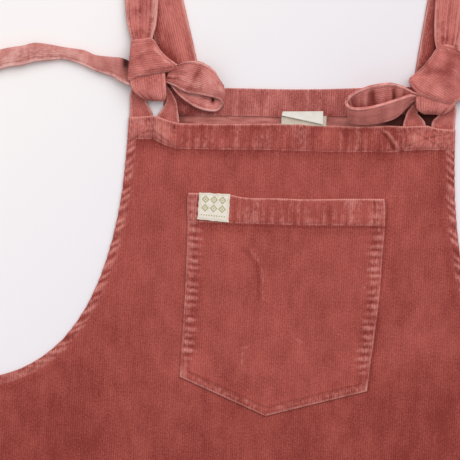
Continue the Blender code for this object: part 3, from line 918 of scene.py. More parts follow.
# ---- Pocket --------------------------------------------------------------------------------------
@dataclass
class Pocket:
    """The bib's pocket: a pointed foot, a doubled mouth and a woven patch at its left."""

    top: tuple[float, float, float] = (-83.5, 79.8, -59.6)        # left, right, height
    foot: tuple[float, float, float] = (-82.8, 72.1, -215.0)
    slant: float = 4.6
    point: tuple[float, float] = (-10.3, -241.7)
    hem: float = 21.5
    row_inside: float = 6.3               # from the edge to the inner row of stitches
    turned: float = 9.0
    # Height on the pattern, then how far the left and the right edge lie inside a straight one.
    bulges: Table = (
        (-60, 0.9, 0.9), (-63, 0, 0), (-72, 0.2, -1), (-84, 1, -1.6), (-105, 1.3, -2),
        (-125, 1.4, -2.4), (-145, 1.4, -2.6), (-175, 0.7, -1.6), (-200, 0.2, -0.5), (-216, 0, 0))
    # Across the pattern, then how far the mouth's top edge and its lower line sag.
    sags: Table = (
        (-84, 0, 3), (-50, 0, 2.8), (-42, 1.6, 2.6), (-34, 2.8, 2.4), (-7, 2.1, 2), (13, 2.3, 2),
        (49, 0.5, 0.7), (80, -0.4, -0.4))
    # Corners of the patch: left and right at its foot, left and right at its top.
    patch_corners: Path = ((-74.3, -81.7), (-48.5, -83.5), (-73.6, -59.2), (-48.3, -59.7))
    patch_cloth: float = 0.8
    pucker: Pucker = Pucker(6.2, 0.45, 5.8, slant=0.06, seed=1.9)
    foot_pucker: Pucker = Pucker(7.5, 0.20, 3.0, seed=3.0)
    mouth_pucker: Pucker = Pucker(7.2, 0.30, 12.0, seed=5.0)
    # Pale scuffs: where they start and end.
    scuffs: tuple[Path, ...] = (
        ((-38.2, -187.9), (-26, -185)), ((-31.2, -190), (-31.6, -200)), ((12, -177), (16, -179)),
        ((-60, -96.5), (-60.3, -99)), ((63, -131.5), (66, -132)))
    creases: tuple[Fold, ...] = (
        Fold(((-35.5, -105), (-28, -112), (-23, -120), (-21, -131), (-20.5, -146)), 1.7, -0.45),
        Fold(((-31.5, -103.5), (-24.5, -111), (-20, -119.5), (-18, -131), (-17.5, -146)), 1.9, 0.35))

    @property
    def point_share(self) -> float:
        """Where the foot's point is across the pocket."""
        return (self.point[0] - self.foot[0]) / (self.foot[1] - self.foot[0])

    def foot_y(self, u: Array) -> Array:
        """Height of the pocket's foot."""
        share = self.point_share
        left = mix(self.foot[2] + self.slant / 2, self.point[1], u / share)
        right = mix(self.point[1], self.foot[2] - self.slant / 2, (u - share) / (1 - share))
        return np.where(u <= share, left, right)

    def across(self, u: Array | float, y: Array) -> Array:
        """Place across the pattern of a share of the pocket's width."""
        down = (self.top[2] - y) / (self.top[2] - self.foot[2])
        height, left, right = np.array(self.bulges[::-1]).T
        left_x = mix(self.top[0], self.foot[0], down) + np.interp(y, height, left)
        return mix(left_x, mix(self.top[1], self.foot[1], down) - np.interp(y, height, right), u)

    def from_side(self, u: Array, y: Array) -> Array:
        """Distance from the nearer side edge."""
        return np.minimum(u, 1 - u) * (self.across(1.0, y) - self.across(0.0, y))

    def mouth_y(self, x: Array, lower: bool) -> Array:
        """Height of the mouth's top edge or of its lower line."""
        place, top, line = np.array(self.sags).T
        return self.top[2] - self.hem * lower - softened(place, line if lower else top, x, 120, 13)

    def base(self, x: Array, y: Array) -> Array:
        """Height of the panel's upper face under the pocket."""
        return LAY.under(x, y) + LIFT + CLOTH + 0.05

    def trim(self, side: Array, low: Array | float, y: Array,
             share: float = 1.0) -> tuple[Array, Array, Array]:
        """The turned edge's relief.

        Args:
            side: distance from the nearer side edge.
            low: distance from the foot's edge.
            y: height on the pattern.
            share: how much the edge puckers.

        Returns:
            The rise, the wear, and the painted shade in its troughs and stitched grooves, along the edge.
        """
        edge = np.minimum(side, low)
        row = edge - self.row_inside
        at_side = smooth(2, 14, low - side)
        waves = share * self.pucker.wave(y, side - self.row_inside) * at_side
        foot = self.foot_pucker.wave(low - side, low - 3.5) * (1 - at_side)
        rise = 0.75 * smooth(self.turned + 1.5, self.turned - 1.5, edge) + self.pucker.height * waves
        rise -= 0.32 * (bell(row, 0.8) + 0.6 * bell(edge - 1.4, 0.5))
        wear, press = worn_and_shaded(waves, 0.66, 0.85) + worn_and_shaded(foot, 0.15, 0.20)
        wear += 0.14 * smooth(self.turned, 5.0, edge) + bell(edge - 0.3, 0.9) * mix(0.60, 0.40, at_side)
        wear += 0.28 * smooth(10, 3, np.hypot(np.maximum(side, 0), np.maximum(low, 0)))
        # Painted shade in the grooves of the stitched rows and beside the foot's edge.
        press += 0.40 * at_side * bell(row, 0.7)
        press += (1 - at_side) * (0.60 * bell(row - 0.4, 0.8) + 0.35 * bell(edge - 2.2, 0.6))
        return rise, wear, press

    def body(self) -> Piece:
        """Make the pocket below its mouth."""
        left = spread(1.0, 0.006, 0.0105, 0.09)
        across = np.sort(np.append(left[np.abs(left - self.point_share) > 0.004], self.point_share))

        def rule(u: Array, v: Array, w: Array) -> Surface:
            """Place the pocket's points."""
            nominal = mix(self.foot_y(u), self.top[2] - self.hem, v)
            line = self.mouth_y(self.across(u, nominal), True) - BUTT
            y = nominal + (line - self.top[2] + self.hem) * smooth(0.45, 1.0, v)
            x = self.across(u, y)
            side, low, from_hem = self.from_side(u, y), (y - self.foot_y(u)) * 0.93, line - y
            rise, wear, press = self.trim(side, low, y)
            crease, base = relief_of(self.creases, x, y), self.base(x, y)
            upper = base + CLOTH + rise + crease + STEP * bell(from_hem, 1.5)
            wear += 0.50 * sum(bell(line_distance(x, y, path), 0.65) for path in self.scuffs)
            # Painted shadow under the mouth's lower edge, with darker and paler clouds; troughs of the
            # creases get painted shade too.
            press += 0.60 * bell(from_hem - 1.2, 1.3) + 0.24 * bell(from_hem - 5.0, 3.0) + cloudy(x, y)
            z = between(base, upper, rounding(np.minimum(side, low), 1.2), w)
            return Surface(placed(x, y, z), stacked(x + 0.5, y), *((wear, press) + worn_and_shaded(crease, 0.7, 1.0)))

        rows = np.r_[0.0, 0.004, 0.009, 0.016, 0.024, np.linspace(0.034, 1.0, 96)]
        return cloth_slab("pocket", Finish.POCKET, across, rows, rule)

    def mouth(self) -> Piece:
        """Make the pocket's doubled mouth."""
        def rule(u: Array, v: Array, w: Array) -> Surface:
            """Place the mouth's points."""
            x = self.across(u, mix(self.top[2] - self.hem, self.top[2], v))
            low_line, top_line = self.mouth_y(x, True), self.mouth_y(x, False)
            y = mix(low_line, top_line, v)
            x = self.across(u, y)
            side, above, below = self.from_side(u, y), y - low_line, top_line - y
            rise, wear, press = self.trim(side, FAR, y, 0.4)
            ribs = self.mouth_pucker.wave(x, 0.6 * above)
            narrow = wander(x, 3.1, 4.0) * blotches(x, y, 7.0, 42)
            base = self.base(x, y)
            upper = base + CLOTH + 0.25 + (CLOTH - 0.5) * smooth(0.0, 2.2, above) + 0.6 * rise
            upper += self.mouth_pucker.height * ribs - 0.18 * bell(above - 1.2, 0.5)
            wear += 0.06 + 0.85 * bell(below - 0.2, 1.0)
            wear += 0.60 * bell(above - 0.3, 0.7) * smooth(-0.5, 0.5, wander(x, 21.0, 1.0))
            wear += 0.20 * bell(side - 7.0, 0.9) + 0.20 * bell(side - 10.2, 0.9)
            # Painted shade along the inner edge of the turned sides and in the troughs of the ribs, with
            # darker and paler clouds.
            press += cloudy(x, y) - 0.15 + 0.50 * bell(side - 8.6, 0.8)
            tone = (wear, press) + worn_and_shaded(ribs, 0.26, 0.26) + worn_and_shaded(narrow, 0.14, 0.14)
            tone += worn_and_shaded(blotches(x, 0.35 * y, 9.0, 41), 0.36, 0.32)
            z = between(base, upper, rounding(np.minimum(side, below), 1.2), w)
            return Surface(placed(x, y, z), stacked(x + 0.5, y), *tone)

        rows = np.r_[np.linspace(0.0, 0.92, 24), 0.94, 0.955, 0.97, 0.985, 1.0]
        return cloth_slab("pocket_top_hem", Finish.POCKET, spread(1.0, 0.005, 0.006, 0.07), rows, rule)

    def patch(self) -> Piece:
        """Make the woven patch, rumpled by its stitching."""
        foot_left, foot_right, top_left, top_right = (np.array(corner) for corner in self.patch_corners)
        wide, high = foot_right[0] - foot_left[0], top_left[1] - foot_left[1]

        def rule(u: Array, v: Array, w: Array) -> Surface:
            """Place the patch's points."""
            share = u[:, None]
            x, y = mix(mix(foot_left, foot_right, share), mix(top_left, top_right, share), v[:, None]).T
            x = x + 0.30 * wander(v, 0.30, 1.0) * np.sign(u - 0.5) * smooth(0.3, 0.5, np.abs(u - 0.5))
            y = y + 0.30 * wander(u, 0.33, 2.0) * smooth(0.3, 0.5, np.abs(v - 0.5))
            edge = np.minimum(np.minimum(u, 1 - u) * wide, np.minimum(v, 1 - v) * high)
            dimple = 0.22 * bell(edge - 1.2, 0.6) * (0.6 + 0.4 * wander(x + y, 3.1, 0.0))
            upper = self.patch_cloth + 0.14 * blotches(x, y, 6.0, 9) - dimple
            z = self.base(x, y) + CLOTH + 1.35 + between(0.0, upper, rounding(edge, 0.7), w)
            # Painted shade in the stitched dimple and along the patch's edge.
            press = 0.35 * bell(edge - 1.2, 0.5) + 0.25 * bell(edge, 0.4)
            return Surface(placed(x, y, z), stacked(u * wide, v * high), 0.0, press)

        return cloth_slab("pocket_patch", Finish.PATCH, even(45), even(45), rule)


POCKET = Pocket()


# ---- Front ---------------------------------------------------------------------------------------
@dataclass
class FrontPanel:
    """The front from under its band to the line above its bottom hem, in one piece."""

    columns: int = 150
    bib_rows: int = 150
    fine_rows: int = 72
    skirt_rows: int = 50
    fine_foot: float = -345.0

    def outline(self) -> tuple[Array, Array]:
        """Heights of the panel's rows, from its foot up, and half its width at each."""
        inset = ARMHOLE_HEM + BUTT
        top, foot = -TOP_HEM - BUTT, -DRESS_DROP + BOTTOM_HEM + BUTT
        line = FRONT_ARMHOLE.edge + FRONT_ARMHOLE.inward * inset
        line = line[line[:, 1] < -TOP_HEM - 0.4]
        line = line[np.linspace(0, len(line) - 1, self.bib_rows).round().astype(int)]
        low = np.r_[np.linspace(line[-1, 1], self.fine_foot, self.fine_rows)[1:],
                    np.linspace(self.fine_foot, foot, self.skirt_rows)[1:]]
        heights = np.r_[top, line[:, 1], low]
        halves = np.r_[FRONT_ARMHOLE.half(top, inset), line[:, 0], side_half(low)]
        return heights[::-1], halves[::-1]

    def build(self) -> Piece:
        """Make the panel."""
        heights, halves = self.outline()
        rows = even(len(heights))

        def rule(u: Array, v: Array, w: Array) -> Surface:
            """Place the panel's points."""
            y = np.interp(v, rows, heights)
            x = (2 * u - 1) * np.interp(v, rows, halves)
            along, away = FRONT_ARMHOLE.measure(np.abs(x), y)
            away = np.where(y < UNDERARM_Y, np.maximum(away, ARMHOLE_HEM), away)
            from_band, from_hem = -TOP_HEM - y, y + DRESS_DROP - BOTTOM_HEM
            from_pocket = x - POCKET.across(1.0, np.clip(y, -216, -60))
            beside_pocket = smooth(-58, -62, y) * smooth(-220, -212, y)
            open_edge = smooth(UNDERARM_Y - 45, UNDERARM_Y, y)
            ridges = armhole_ridges(along, away) * open_edge
            ribs = BAND_PUCKER.wave(x, from_band * 1.6) * 0.8
            foot = HEM_PUCKER.wave(x, from_hem)
            rise = ARMHOLE_RIDGE * ridges + BAND_PUCKER.height * ribs + HEM_PUCKER.height * foot
            step = bell(from_band, 1.6) + bell(away - ARMHOLE_HEM, 4.0) + bell(from_hem, 2.0)
            under = LAY.under(x, y, away) + LIFT
            upper = under + CLOTH + rise + STEP * np.minimum(step, 1.0)
            # Crests are worn and troughs get painted shade; then a painted shadow under the band's edge,
            # painted shade beside the armhole hem and a painted shadow line outside the pocket's right edge,
            # with darker and paler clouds.
            wear, press = worn_and_shaded(ridges, 0.60, 0.55) + worn_and_shaded(ribs, 0.22, 0.30) + worn_and_shaded(foot, 0.3, 0.0)
            wear += 0.08 * smooth(ARMHOLE_HEM + 3, ARMHOLE_HEM, away) * open_edge
            press += 0.60 * bell(from_band - 0.9, 1.1) + 0.28 * bell(from_band - 4.0, 3.5) + cloudy(x, y)
            press += 0.16 * bell(away - ARMHOLE_HEM - 4.5, 3.0) * open_edge
            press += 0.45 * bell(from_pocket - 1.1, 1.5) * beside_pocket
            return Surface(placed(x, y, between(under, upper, 1.0, w)), stacked(x, y), wear, press)

        return cloth_slab("front_panel", Finish.FRONT, even(self.columns + 1), rows, rule)


@dataclass
class TopBand:
    """The doubled band across the bib, with the loops' stitched boxes pressed into its ends."""

    columns: int = 380
    rows: int = 30
    creases: tuple[Fold, ...] = (
        Fold(((-131.2, -4), (-131.2, -14)), 0.8, -0.35),
        Fold(((-129.5, -20.5), (-124, -16), (-116, -13.8)), 0.8, -0.5),
        Fold(((-114.5, -8), (-114.5, -21)), 0.9, -0.5),
        Fold(((-112.9, -14), (-106.5, -16.4), (-100.8, -17.4)), 0.8, -0.5),
        Fold(((-97, -2.4), (-97.1, -8.8)), 0.8, -0.75),
        Fold(((76.6, -4.4), (79.6, -6.2), (83.4, -10.6), (88.2, -18.5)), 1.2, 0.75),
        Fold(((73.6, -5.4), (76.8, -7.4), (80.6, -12), (85.2, -19.6)), 1.0, -0.55),
        Fold(((91.4, -8), (91.6, -20)), 1.1, 0.45),
        Fold(((93.8, -4), (93.8, -18)), 0.8, -0.35),
        Fold(((96.5, -2.5), (109.4, -10.5), (122, -18.5)), 0.8, -0.45),
        Fold(((94.6, -17.8), (108.6, -12.5), (122, -6.5)), 0.8, -0.45),
        Fold(((102, -9.5), (106, -15.5)), 2.4, 0.35),
    )
    # Darker and paler clouds on it, as in CLOUDS.
    patches: Table = (
        (-128, -8, 8, 10, -0.55), (-101, -13, 9, 11, -0.6), (-87, -11, 5, 12, 0.25), (-59, -16, 7, 8, -0.4),
        (7, -11, 9, 12, 0.6), (54, -11, 8, 12, 0.6), (107, -12, 11, 9, -0.85), (80, -12, 7, 10, 0.25),
        (31, -11, 7, 12, -0.35), (-20, -12, 8, 10, 0.2))

    def build(self) -> Piece:
        """Make the band."""
        def rule(u: Array, v: Array, w: Array) -> Surface:
            """Place the band's points."""
            y = mix(-TOP_HEM, 0.0, v)
            half = FRONT_ARMHOLE.half(y)
            x = (2 * u - 1) * half
            above, side = y + TOP_HEM, half - np.abs(x)
            ribs = BAND_PUCKER.wave(x, 0.55 * above)
            clouds = blotches(x, 0.55 * y, 9.0, 21)
            narrow = wander(x + 0.15 * y, 2.9, 5.0) * blotches(x, y, 6.0, 22)
            ends = 0.55 + 0.75 * bell(x + 82, 34.0) + 0.5 * bell(x - 70, 45.0)
            level = smooth(0.0, 2.4, above) * smooth(0.0, 2.0, side + 1.0)
            crease = relief_of(self.creases, x, y)
            under = LAY.under(x, y, side)
            upper = under + LIFT + CLOTH + STEP + (CLOTH - 0.5) * level
            upper += BAND_PUCKER.height * ends * ribs - 0.18 * bell(above - 1.3, 0.5) + crease
            # Troughs of the ribs and the creases get painted shade, with darker and paler clouds; a painted
            # shade line runs just under the top edge.
            wear, press = (worn_and_shaded(ribs, 0.20 * ends, 0.26 * ends) + worn_and_shaded(crease, 0.6, 2.0)
                           + worn_and_shaded(clouds, 0.24, 0.24) + worn_and_shaded(narrow, 0.08, 0.12))
            wear += 0.06 + 0.75 * bell(-y - 0.3, 1.0) + 0.15 * bell(side - 0.5, 1.2)
            wear += 0.32 * bell(above - 0.3, 0.7) * smooth(-0.5, 0.4, wander(x, 17.0, 3.0))
            wear += 0.30 * smooth(-92, -104, x) + 0.22 * smooth(92, 98, x)
            press += 0.25 * bell(-y - 3.2, 1.6) + cloudy(x, y, self.patches)
            z = between(under, upper, rounding(np.minimum(-y, side), 1.3), w)
            return Surface(placed(x, y, z), stacked(x, y), wear, press)

        rows = np.r_[np.linspace(0.0, 0.93, self.rows), 0.95, 0.965, 0.98, 0.99, 1.0]
        return cloth_slab("front_top_hem", Finish.FRONT, even(self.columns + 1), rows, rule)


@dataclass
class ArmholeHem:
    """The narrow hem along one armhole, roped by its stitching."""

    side: Side
    rows: int = 250
    columns: tuple[float, ...] = (0.0, 0.04, 0.09, 0.16, 0.26, 0.38, 0.5, 0.62, 0.74, 0.86, 1.0)

    def build(self) -> Piece:
        """Make the hem."""
        start = FRONT_ARMHOLE.down_to(TOP_HEM + BUTT)

        def rule(u: Array, v: Array, w: Array) -> Surface:
            """Place the hem's points, u from its edge inwards and v down along it."""
            along = mix(start, FRONT_ARMHOLE.run[-1], v)
            inside = u * ARMHOLE_HEM
            ridges = armhole_ridges(along, inside)
            x, y = FRONT_ARMHOLE.at(along, inside - 0.30 * ridges * smooth(2.0, 0.0, inside))
            y = np.minimum(y, -TOP_HEM - BUTT)
            under = LAY.under(x, y, inside)
            level = smooth(ARMHOLE_HEM, ARMHOLE_HEM - 5.0, inside)
            upper = under + LIFT + CLOTH + STEP + (CLOTH - 0.6) * level
            upper += ARMHOLE_RIDGE * ridges * smooth(-0.5, 2.0, inside)
            # Crests of the roping are worn and its troughs get painted shade.
            wear, press = worn_and_shaded(ridges, mix(0.85, 0.60, u), 0.70)
            wear += mix(0.17, 0.38, smooth(185, 240, along))
            x, z = self.side * x, between(under, upper, rounding(inside, 1.2), w)
            return Surface(placed(x, y, z), stacked(x, y), wear, press)

        return cloth_slab("front_armhole_hem_" + self.side.tag, Finish.FRONT, np.array(self.columns),
                          even(self.rows + 1), rule)


@dataclass
class BottomHem:
    """The turned hem at the foot of the front or of the back."""

    name: str
    finish: Finish
    front: bool
    columns: int = 220
    rows: tuple[float, ...] = (0.0, 0.02, 0.05, 0.1, 0.2, 0.35, 0.5, 0.65, 0.8, 0.9, 1.0)

    def build(self) -> Piece:
        """Make the hem."""
        def rule(u: Array, v: Array, w: Array) -> Surface:
            """Place the hem's points."""
            y = mix(-DRESS_DROP, -DRESS_DROP + BOTTOM_HEM, v)
            x = (2 * u - 1) * side_half(y)
            above = y + DRESS_DROP
            edge = np.minimum(above, side_half(y) - np.abs(x))
            ridges = HEM_PUCKER.wave(x, 0.5 * (above - BOTTOM_HEM)) * self.front
            level = smooth(BOTTOM_HEM, BOTTOM_HEM - 2.5, above)
            under = LAY.under(x, y) if self.front else np.zeros_like(x)
            upper = under + LIFT * self.front + CLOTH + STEP + (CLOTH - 0.5) * level
            upper += HEM_PUCKER.height * ridges
            # Crests are worn and troughs get painted shade; the edge is worn.
            wear, press = worn_and_shaded(ridges, 0.5, 0.5)
            z = between(under, upper, rounding(edge, 1.3), w)
            if self.front:
                points = placed(x, y, z)
            else:
                points = stacked(x, y + hem_lift(x, y), np.where(w < 0.5, 0.0, z))
            return Surface(points, stacked(x, y), wear + 0.7 * bell(above, 1.2), press)

        return cloth_slab(self.name, self.finish, even(self.columns + 1), np.array(self.rows), rule)


# ---- Back ----------------------------------------------------------------------------------------
@dataclass
class Back:
    """The back bib, which lies turned and a little to the right under the front one."""

    shift: float = 12.0
    tilt: float = 0.052
    tilt_fade: float = 120.0
    sag: float = 1.9
    sag_place: float = -3.0
    sag_reach: float = 57.0
    hem_z: float = CLOTH + 0.05
    label_cloth: float = 0.7
    columns: int = 120
    bib_rows: int = 90
    skirt_rows: int = 70

    def place(self, x: Array, y: Array, z: Array) -> Array:
        """Where points of the back's straight pattern come to lie."""
        lean = smooth(-self.tilt_fade, 0.0, y)
        sag = self.sag * bell(x - self.sag_place, self.sag_reach) * lean
        return stacked(x + self.shift * lean, y + self.tilt * x * lean - sag + hem_lift(x, y), z)

    def painted_shade(self, x: Array, y: Array) -> Array:
        """Painted shade on the back where it lies between back and front: under the knots and the left bow,
        and beside the labels.
        """
        right = smooth(51, 69, x) * smooth(17, 8, y)
        left = smooth(-66, -86, x) * smooth(25, 17, y) * smooth(5.5, 9, y)
        corner = smooth(-88, -104, x) * smooth(16, 6, y)
        beside = (bell(x + 25, 4.0) + bell(x - 20, 4.0)) * smooth(14, 8, y)
        return 1.75 * right + 0.65 * left + corner + 0.30 * beside

    def panel(self) -> Piece:
        """Make the back panel, its wrong side up."""
        edge = BACK_ARMHOLE.edge
        edge = edge[np.linspace(0, len(edge) - 1, self.bib_rows).round().astype(int)]
        low = np.linspace(UNDERARM_Y, -DRESS_DROP + BOTTOM_HEM + BUTT, self.skirt_rows)[1:]
        heights = np.r_[edge[:, 1], low][::-1]
        halves = np.r_[edge[:, 0], side_half(low)][::-1]
        rows = even(len(heights))

        def rule(u: Array, v: Array, w: Array) -> Surface:
            """Place the panel's points."""
            y, half = np.interp(v, rows, heights), np.interp(v, rows, halves)
            x = (2 * u - 1) * half
            share = rounding(np.minimum(half - np.abs(x), BACK_TOP - y), 0.8)
            z = np.where(w < 0.5, 0.0, CLOTH * (0.5 + 0.5 * share))
            # Painted shadow along the facing's lower edge, and painted shade under the knots and beside the
            # labels.
            press = 0.25 * bell(y - BACK_TOP + BACK_TOP_HEM, 1.5) + self.painted_shade(x, y)
            return Surface(self.place(x, y, z), stacked(x, y), 0.0, press)

        across = spread(1.0, 0.004, 1 / self.columns, 0.012)
        return cloth_slab("back_panel", Finish.INSIDE, across, rows, rule)

    def top_hem(self) -> Piece:
        """Make the facing across the back bib's top, the right side of its cloth showing."""
        def rule(u: Array, v: Array, w: Array) -> Surface:
            """Place the facing's points."""
            y = mix(BACK_TOP - BACK_TOP_HEM, BACK_TOP, v)
            half = BACK_ARMHOLE.half(y) - CLOTH
            x = (2 * u - 1) * half
            down, up = BACK_TOP - y, y - BACK_TOP + BACK_TOP_HEM
            edge = np.minimum(np.minimum(down, up), half - np.abs(x))
            ribs = wander(x, 8.5, 1.3) * (0.6 + 0.4 * wander(x, 47.0, 0.4))
            narrow = wander(x, 3.6, 2.0) * (0.6 + 0.4 * blotches(x, 0.3 * y, 8.0, 31))
            upper = self.hem_z + CLOTH + 0.22 * ribs - 0.18 * bell(up - 1.8, 0.5)
            wear, press = worn_and_shaded(ribs, 0.28, 0.28) + worn_and_shaded(narrow, 0.15, 0.16)
            wear += 0.06 + 0.5 * bell(down, 0.9) + 0.3 * bell(up, 0.7)
            z = between(self.hem_z, upper, rounding(edge, 0.9), w)
            # Troughs of the ribs get painted shade, and painted shade falls under the knots and beside the
            # labels.
            return Surface(self.place(x, y, z), stacked(x + 0.6, y), wear, press + self.painted_shade(x, y))

        rows = np.r_[0.0, 0.01, 0.025, 0.04, np.linspace(0.06, 0.94, 18), 0.96, 0.98, 0.99, 1.0]
        return cloth_slab("back_top_hem", Finish.BACK_HEM, even(241), rows, rule)

    def label(self, name: str, finish: Finish, box: tuple[float, float, float, float], height: float,
              slope: float) -> Piece:
        """Make a label that stands up from behind the bib.

        Args:
            name: its name.
            finish: what it is made of.
            box: its left, right, lower and upper edge.
            height: how high it lies above the back's hem.
            slope: how far its lower edge rises from left to right.

        Returns:
            The label.
        """
        left, right, low, high = box

        def rule(u: Array, v: Array, w: Array) -> Surface:
            """Place the label's points."""
            x = mix(left, right, u) + 0.12 * slope * (v - 0.5) * (2 * u - 1)
            y = mix(low + slope * u, high, v) + self.tilt * x * v
            edge = np.minimum(np.minimum(u, 1 - u) * (right - left), np.minimum(v, 1 - v) * (high - low))
            curl = 0.35 * wander(x, 24.0, 2.0 + slope) + 0.5 * smooth(0.25, 0.0, v)
            z = self.hem_z + CLOTH + height + curl + between(0.0, self.label_cloth, rounding(edge, 0.5), w)
            # Painted shade along the label's edges.
            return Surface(stacked(x, y, z), stacked(x, y), 0.0, 0.35 * bell(edge, 0.5))

        return cloth_slab(name, finish, spread(1.0, 0.008, 0.025, 0.03), spread(1.0, 0.03, 0.08, 0.1), rule)


BACK = Back()


# ---- Straps, loops, knots and bows ---------------------------------------------------------------
Tone = tuple[Array, Array]                      # wear, and painted shade with uneven tone
Toning = Callable[[Array, Array, Array], Tone]  # from u, v and the points
Crown = Callable[[Array, Array], Array]         # height out of the strip, from u and v


@dataclass
class Ribbon:
    """A strip of doubled cloth through rows of one edge (x, y, z) and the other edge (x, y, z)."""

    name: str
    finish: Finish
    sections: Array
    rows: int
    toning: Toning
    crown: Crown = lambda u, v: 0.0 * u
    width: float = STRAP_WIDTH
    thickness: float = DOUBLED
    edge_wear: float = 0.55
    clouds: float = 0.30       # how strongly broad patches of it differ
    folded: bool = False       # lengthwise in half, its first edge the fold
    facing: float = field(init=False, default=1.0)

    def __post_init__(self) -> None:
        """Find which way its normals point where it starts."""
        start = self.normal(np.array([0.75]), np.array([0.03]))
        self.facing = -1.0 if start[0, 2] < 0 else 1.0

    @property
    def length(self) -> float:
        """Length of its middle line."""
        return float(run_of(self.sheet(np.full(400, 0.5), even(400)))[-1])

    def sheet(self, u: Array, v: Array) -> Array:
        """Points of the strip's middle face, before its gathers."""
        values = spline(self.sections, v)
        share = np.abs(2 * u - 1) if self.folded else u
        points = mix(values[:, :3], values[:, 3:], share[:, None])
        if self.folded:
            turn = np.sqrt(1 - (1 - capped(share / 0.16)) ** 2)
            points[:, 2] += np.sign(u - 0.5) * turn * (self.thickness / 2 + 0.1)
        return points

    def normal(self, u: Array, v: Array) -> Array:
        """Directions square to the strip, upwards at its start."""
        step = 0.004
        across = self.sheet(capped(u + step), v) - self.sheet(capped(u - step), v)
        along = self.sheet(u, capped(v + step)) - self.sheet(u, capped(v - step))
        return unit(np.cross(across, along) * self.facing)

    def at(self, u: Array, v: Array, out: Array | float) -> Array:
        """Points at a distance out from the strip's middle face."""
        return self.sheet(u, v) + self.normal(u, v) * (out + self.crown(u, v))[:, None]

    def build(self) -> Piece:
        """Make the strip, with a rolled and stitched rim along both edges."""
        length = self.length

        def rule(u: Array, v: Array, w: Array) -> Surface:
            """Place the strip's points."""
            edge = np.minimum(u, 1 - u) * self.width
            profile = rounding(edge, 1.3) + 0.16 * bell(edge - 1.9, 1.0) - 0.20 * bell(edge - 3.4, 0.5)
            ends = rounding(np.minimum(v, 1 - v) * length, 1.2)
            points = self.at(u, v, (w - 0.5) * self.thickness * profile * ends)
            points[:, 2] = np.maximum(points[:, 2], 0.02)
            # Troughs of the crown get painted shade, crests are worn.
            wear, press = worn_and_shaded(self.crown(u, v), 0.22, 0.55) + self.toning(u, v, points)
            wear += self.edge_wear * bell(edge - 1.0, 1.4)
            right, down = u * self.width, v * length
            clouds = blotches(right, 0.8 * down, 9.5, len(self.name)) + 0.6 * blotches(right, down, 4.5, 61)
            # Painted shade in the stitched groove, and uneven clouds.
            press += 0.35 * bell(edge - 3.4, 0.6) + self.clouds * clouds
            return Surface(points, stacked(right, down), wear, press)

        across = spread(self.width, 0.55, 1.1, 4.5)
        return cloth_slab(self.name, self.finish, across, even(self.rows + 1), rule)


def mirrored(rows: Table, places: list[int], side: Side) -> Array:
    """Rows that are drawn for the left, as they are on the wanted side.

    Args:
        rows: the rows.
        places: which of a row's numbers are an x.
        side: the wanted side.

    Returns:
        The rows.
    """
    table = np.array(rows, float)
    table[:, places] *= -side
    return table


# Where the knot and the strap above it end towards the middle, on the right side.
KNOT_SIDE: Path = ((116.5, 90.0), (116.5, 64.0), (111.1, 55.5), (104.2, 49.2), (97.3, 45.0))


@dataclass
class Strap:
    """One strap: flat up from the back bib, over at the shoulder, down on itself to the knot."""

    side: Side
    root: tuple[float, float]
    fold: tuple[float, float]
    knot: tuple[float, float]
    at_knot: float = 17.0
    fold_radius: float = 2.6
    back_run_z: float = DOUBLED / 2 + 0.03
    # Share of the way down the front run, how far it has narrowed, and how high it lies.
    front_run: Table = ((0.15, 0.0, 0.5), (0.40, 0.05, 0.0), (0.66, 0.25, 0.4), (0.80, 0.50, 1.2),
                        (0.89, 0.92, 2.2), (1, 1, 2.6))

    def sections(self) -> Array:
        """Cross-sections of the strap from the back bib to the knot."""
        root, fold, knot = (np.array(place) for place in (self.root, self.fold, self.knot))
        up, down = unit(fold - root), unit(knot - fold)
        out = unit(up - down)
        across_back, across_front = np.array((up[1], -up[0])), np.array((-down[1], down[0]))
        half, low = STRAP_WIDTH / 2, self.back_run_z
        foot: list[float] = []
        for side in Side:
            x = root[0] + side * half * across_back[0]
            foot += [x, BACK_TOP + BACK.tilt * (x - BACK.shift) + SEAM, low]
        # Each with its middle, its way across, half its width and its height.
        rows = [(mix(root, fold, share), across_back, half, low) for share in (0.12, 0.5, 0.9)]
        for turn in math.pi * even(7):
            rows.append((fold + out * self.fold_radius * math.sin(turn),
                         unit(mix(across_back, across_front, turn / math.pi)), half,
                         low + self.fold_radius * (1 - math.cos(turn))))
        rows += [(mix(fold, knot, share), across_front, mix(half, self.at_knot / 2, narrow),
                  low + DOUBLED + SEAM + lift) for share, narrow, lift in self.front_run]
        return np.array([foot] + [[*(middle - across * width), z, *(middle + across * width), z]
                                  for middle, across, width, z in rows])

    def strip(self) -> Ribbon:
        """Work out the strap's strip."""
        def crown(u: Array, v: Array) -> Array:
            """Gathers where the strap runs into the knot."""
            gather = smooth(0.70, 0.92, v) * smooth(0.0, 0.12, u) * smooth(1.0, 0.88, u)
            rolled = bell(u - 0.87, 0.06) * smooth(0.60, 0.72, v)
            return wander(u, 0.19, 1.0 + self.side) * gather + 1.1 * rolled

        def toning(u: Array, v: Array, points: Array) -> Tone:
            """The front run is paler, with painted shade at its end in the knot, between its gathers and in
            the gap beside its roll; the back run gets painted shade beside the front run and beside the
            knot.
            """
            x, y, _ = points.T
            front, low = smooth(0.52, 0.58, v), smooth(0.62, 0.74, v)
            gathers = 0.7 * wander(u, 0.11, 2.0) * smooth(0.66, 0.86, v)
            press = 0.45 * smooth(0.94, 1.0, v) + front * (0.9 * low * bell(u - 0.8, 0.035) + gathers - 0.45)
            gap = line_distance(self.side * x, y, KNOT_SIDE)
            back = 1.15 * bell(gap, 3.4) + 0.15 * bell(gap, 8.0) + smooth(103, 112, x) * smooth(45, 62, y)
            back -= 0.4 if self.side is Side.LEFT else 0.1
            return front * (0.12 + 0.55 * bell(u - 0.90, 0.06) * low), press + (1 - front) * back

        return Ribbon("strap_" + self.side.tag, Finish.STRAP, self.sections(), 190, toning, crown,
                      clouds=0.55)


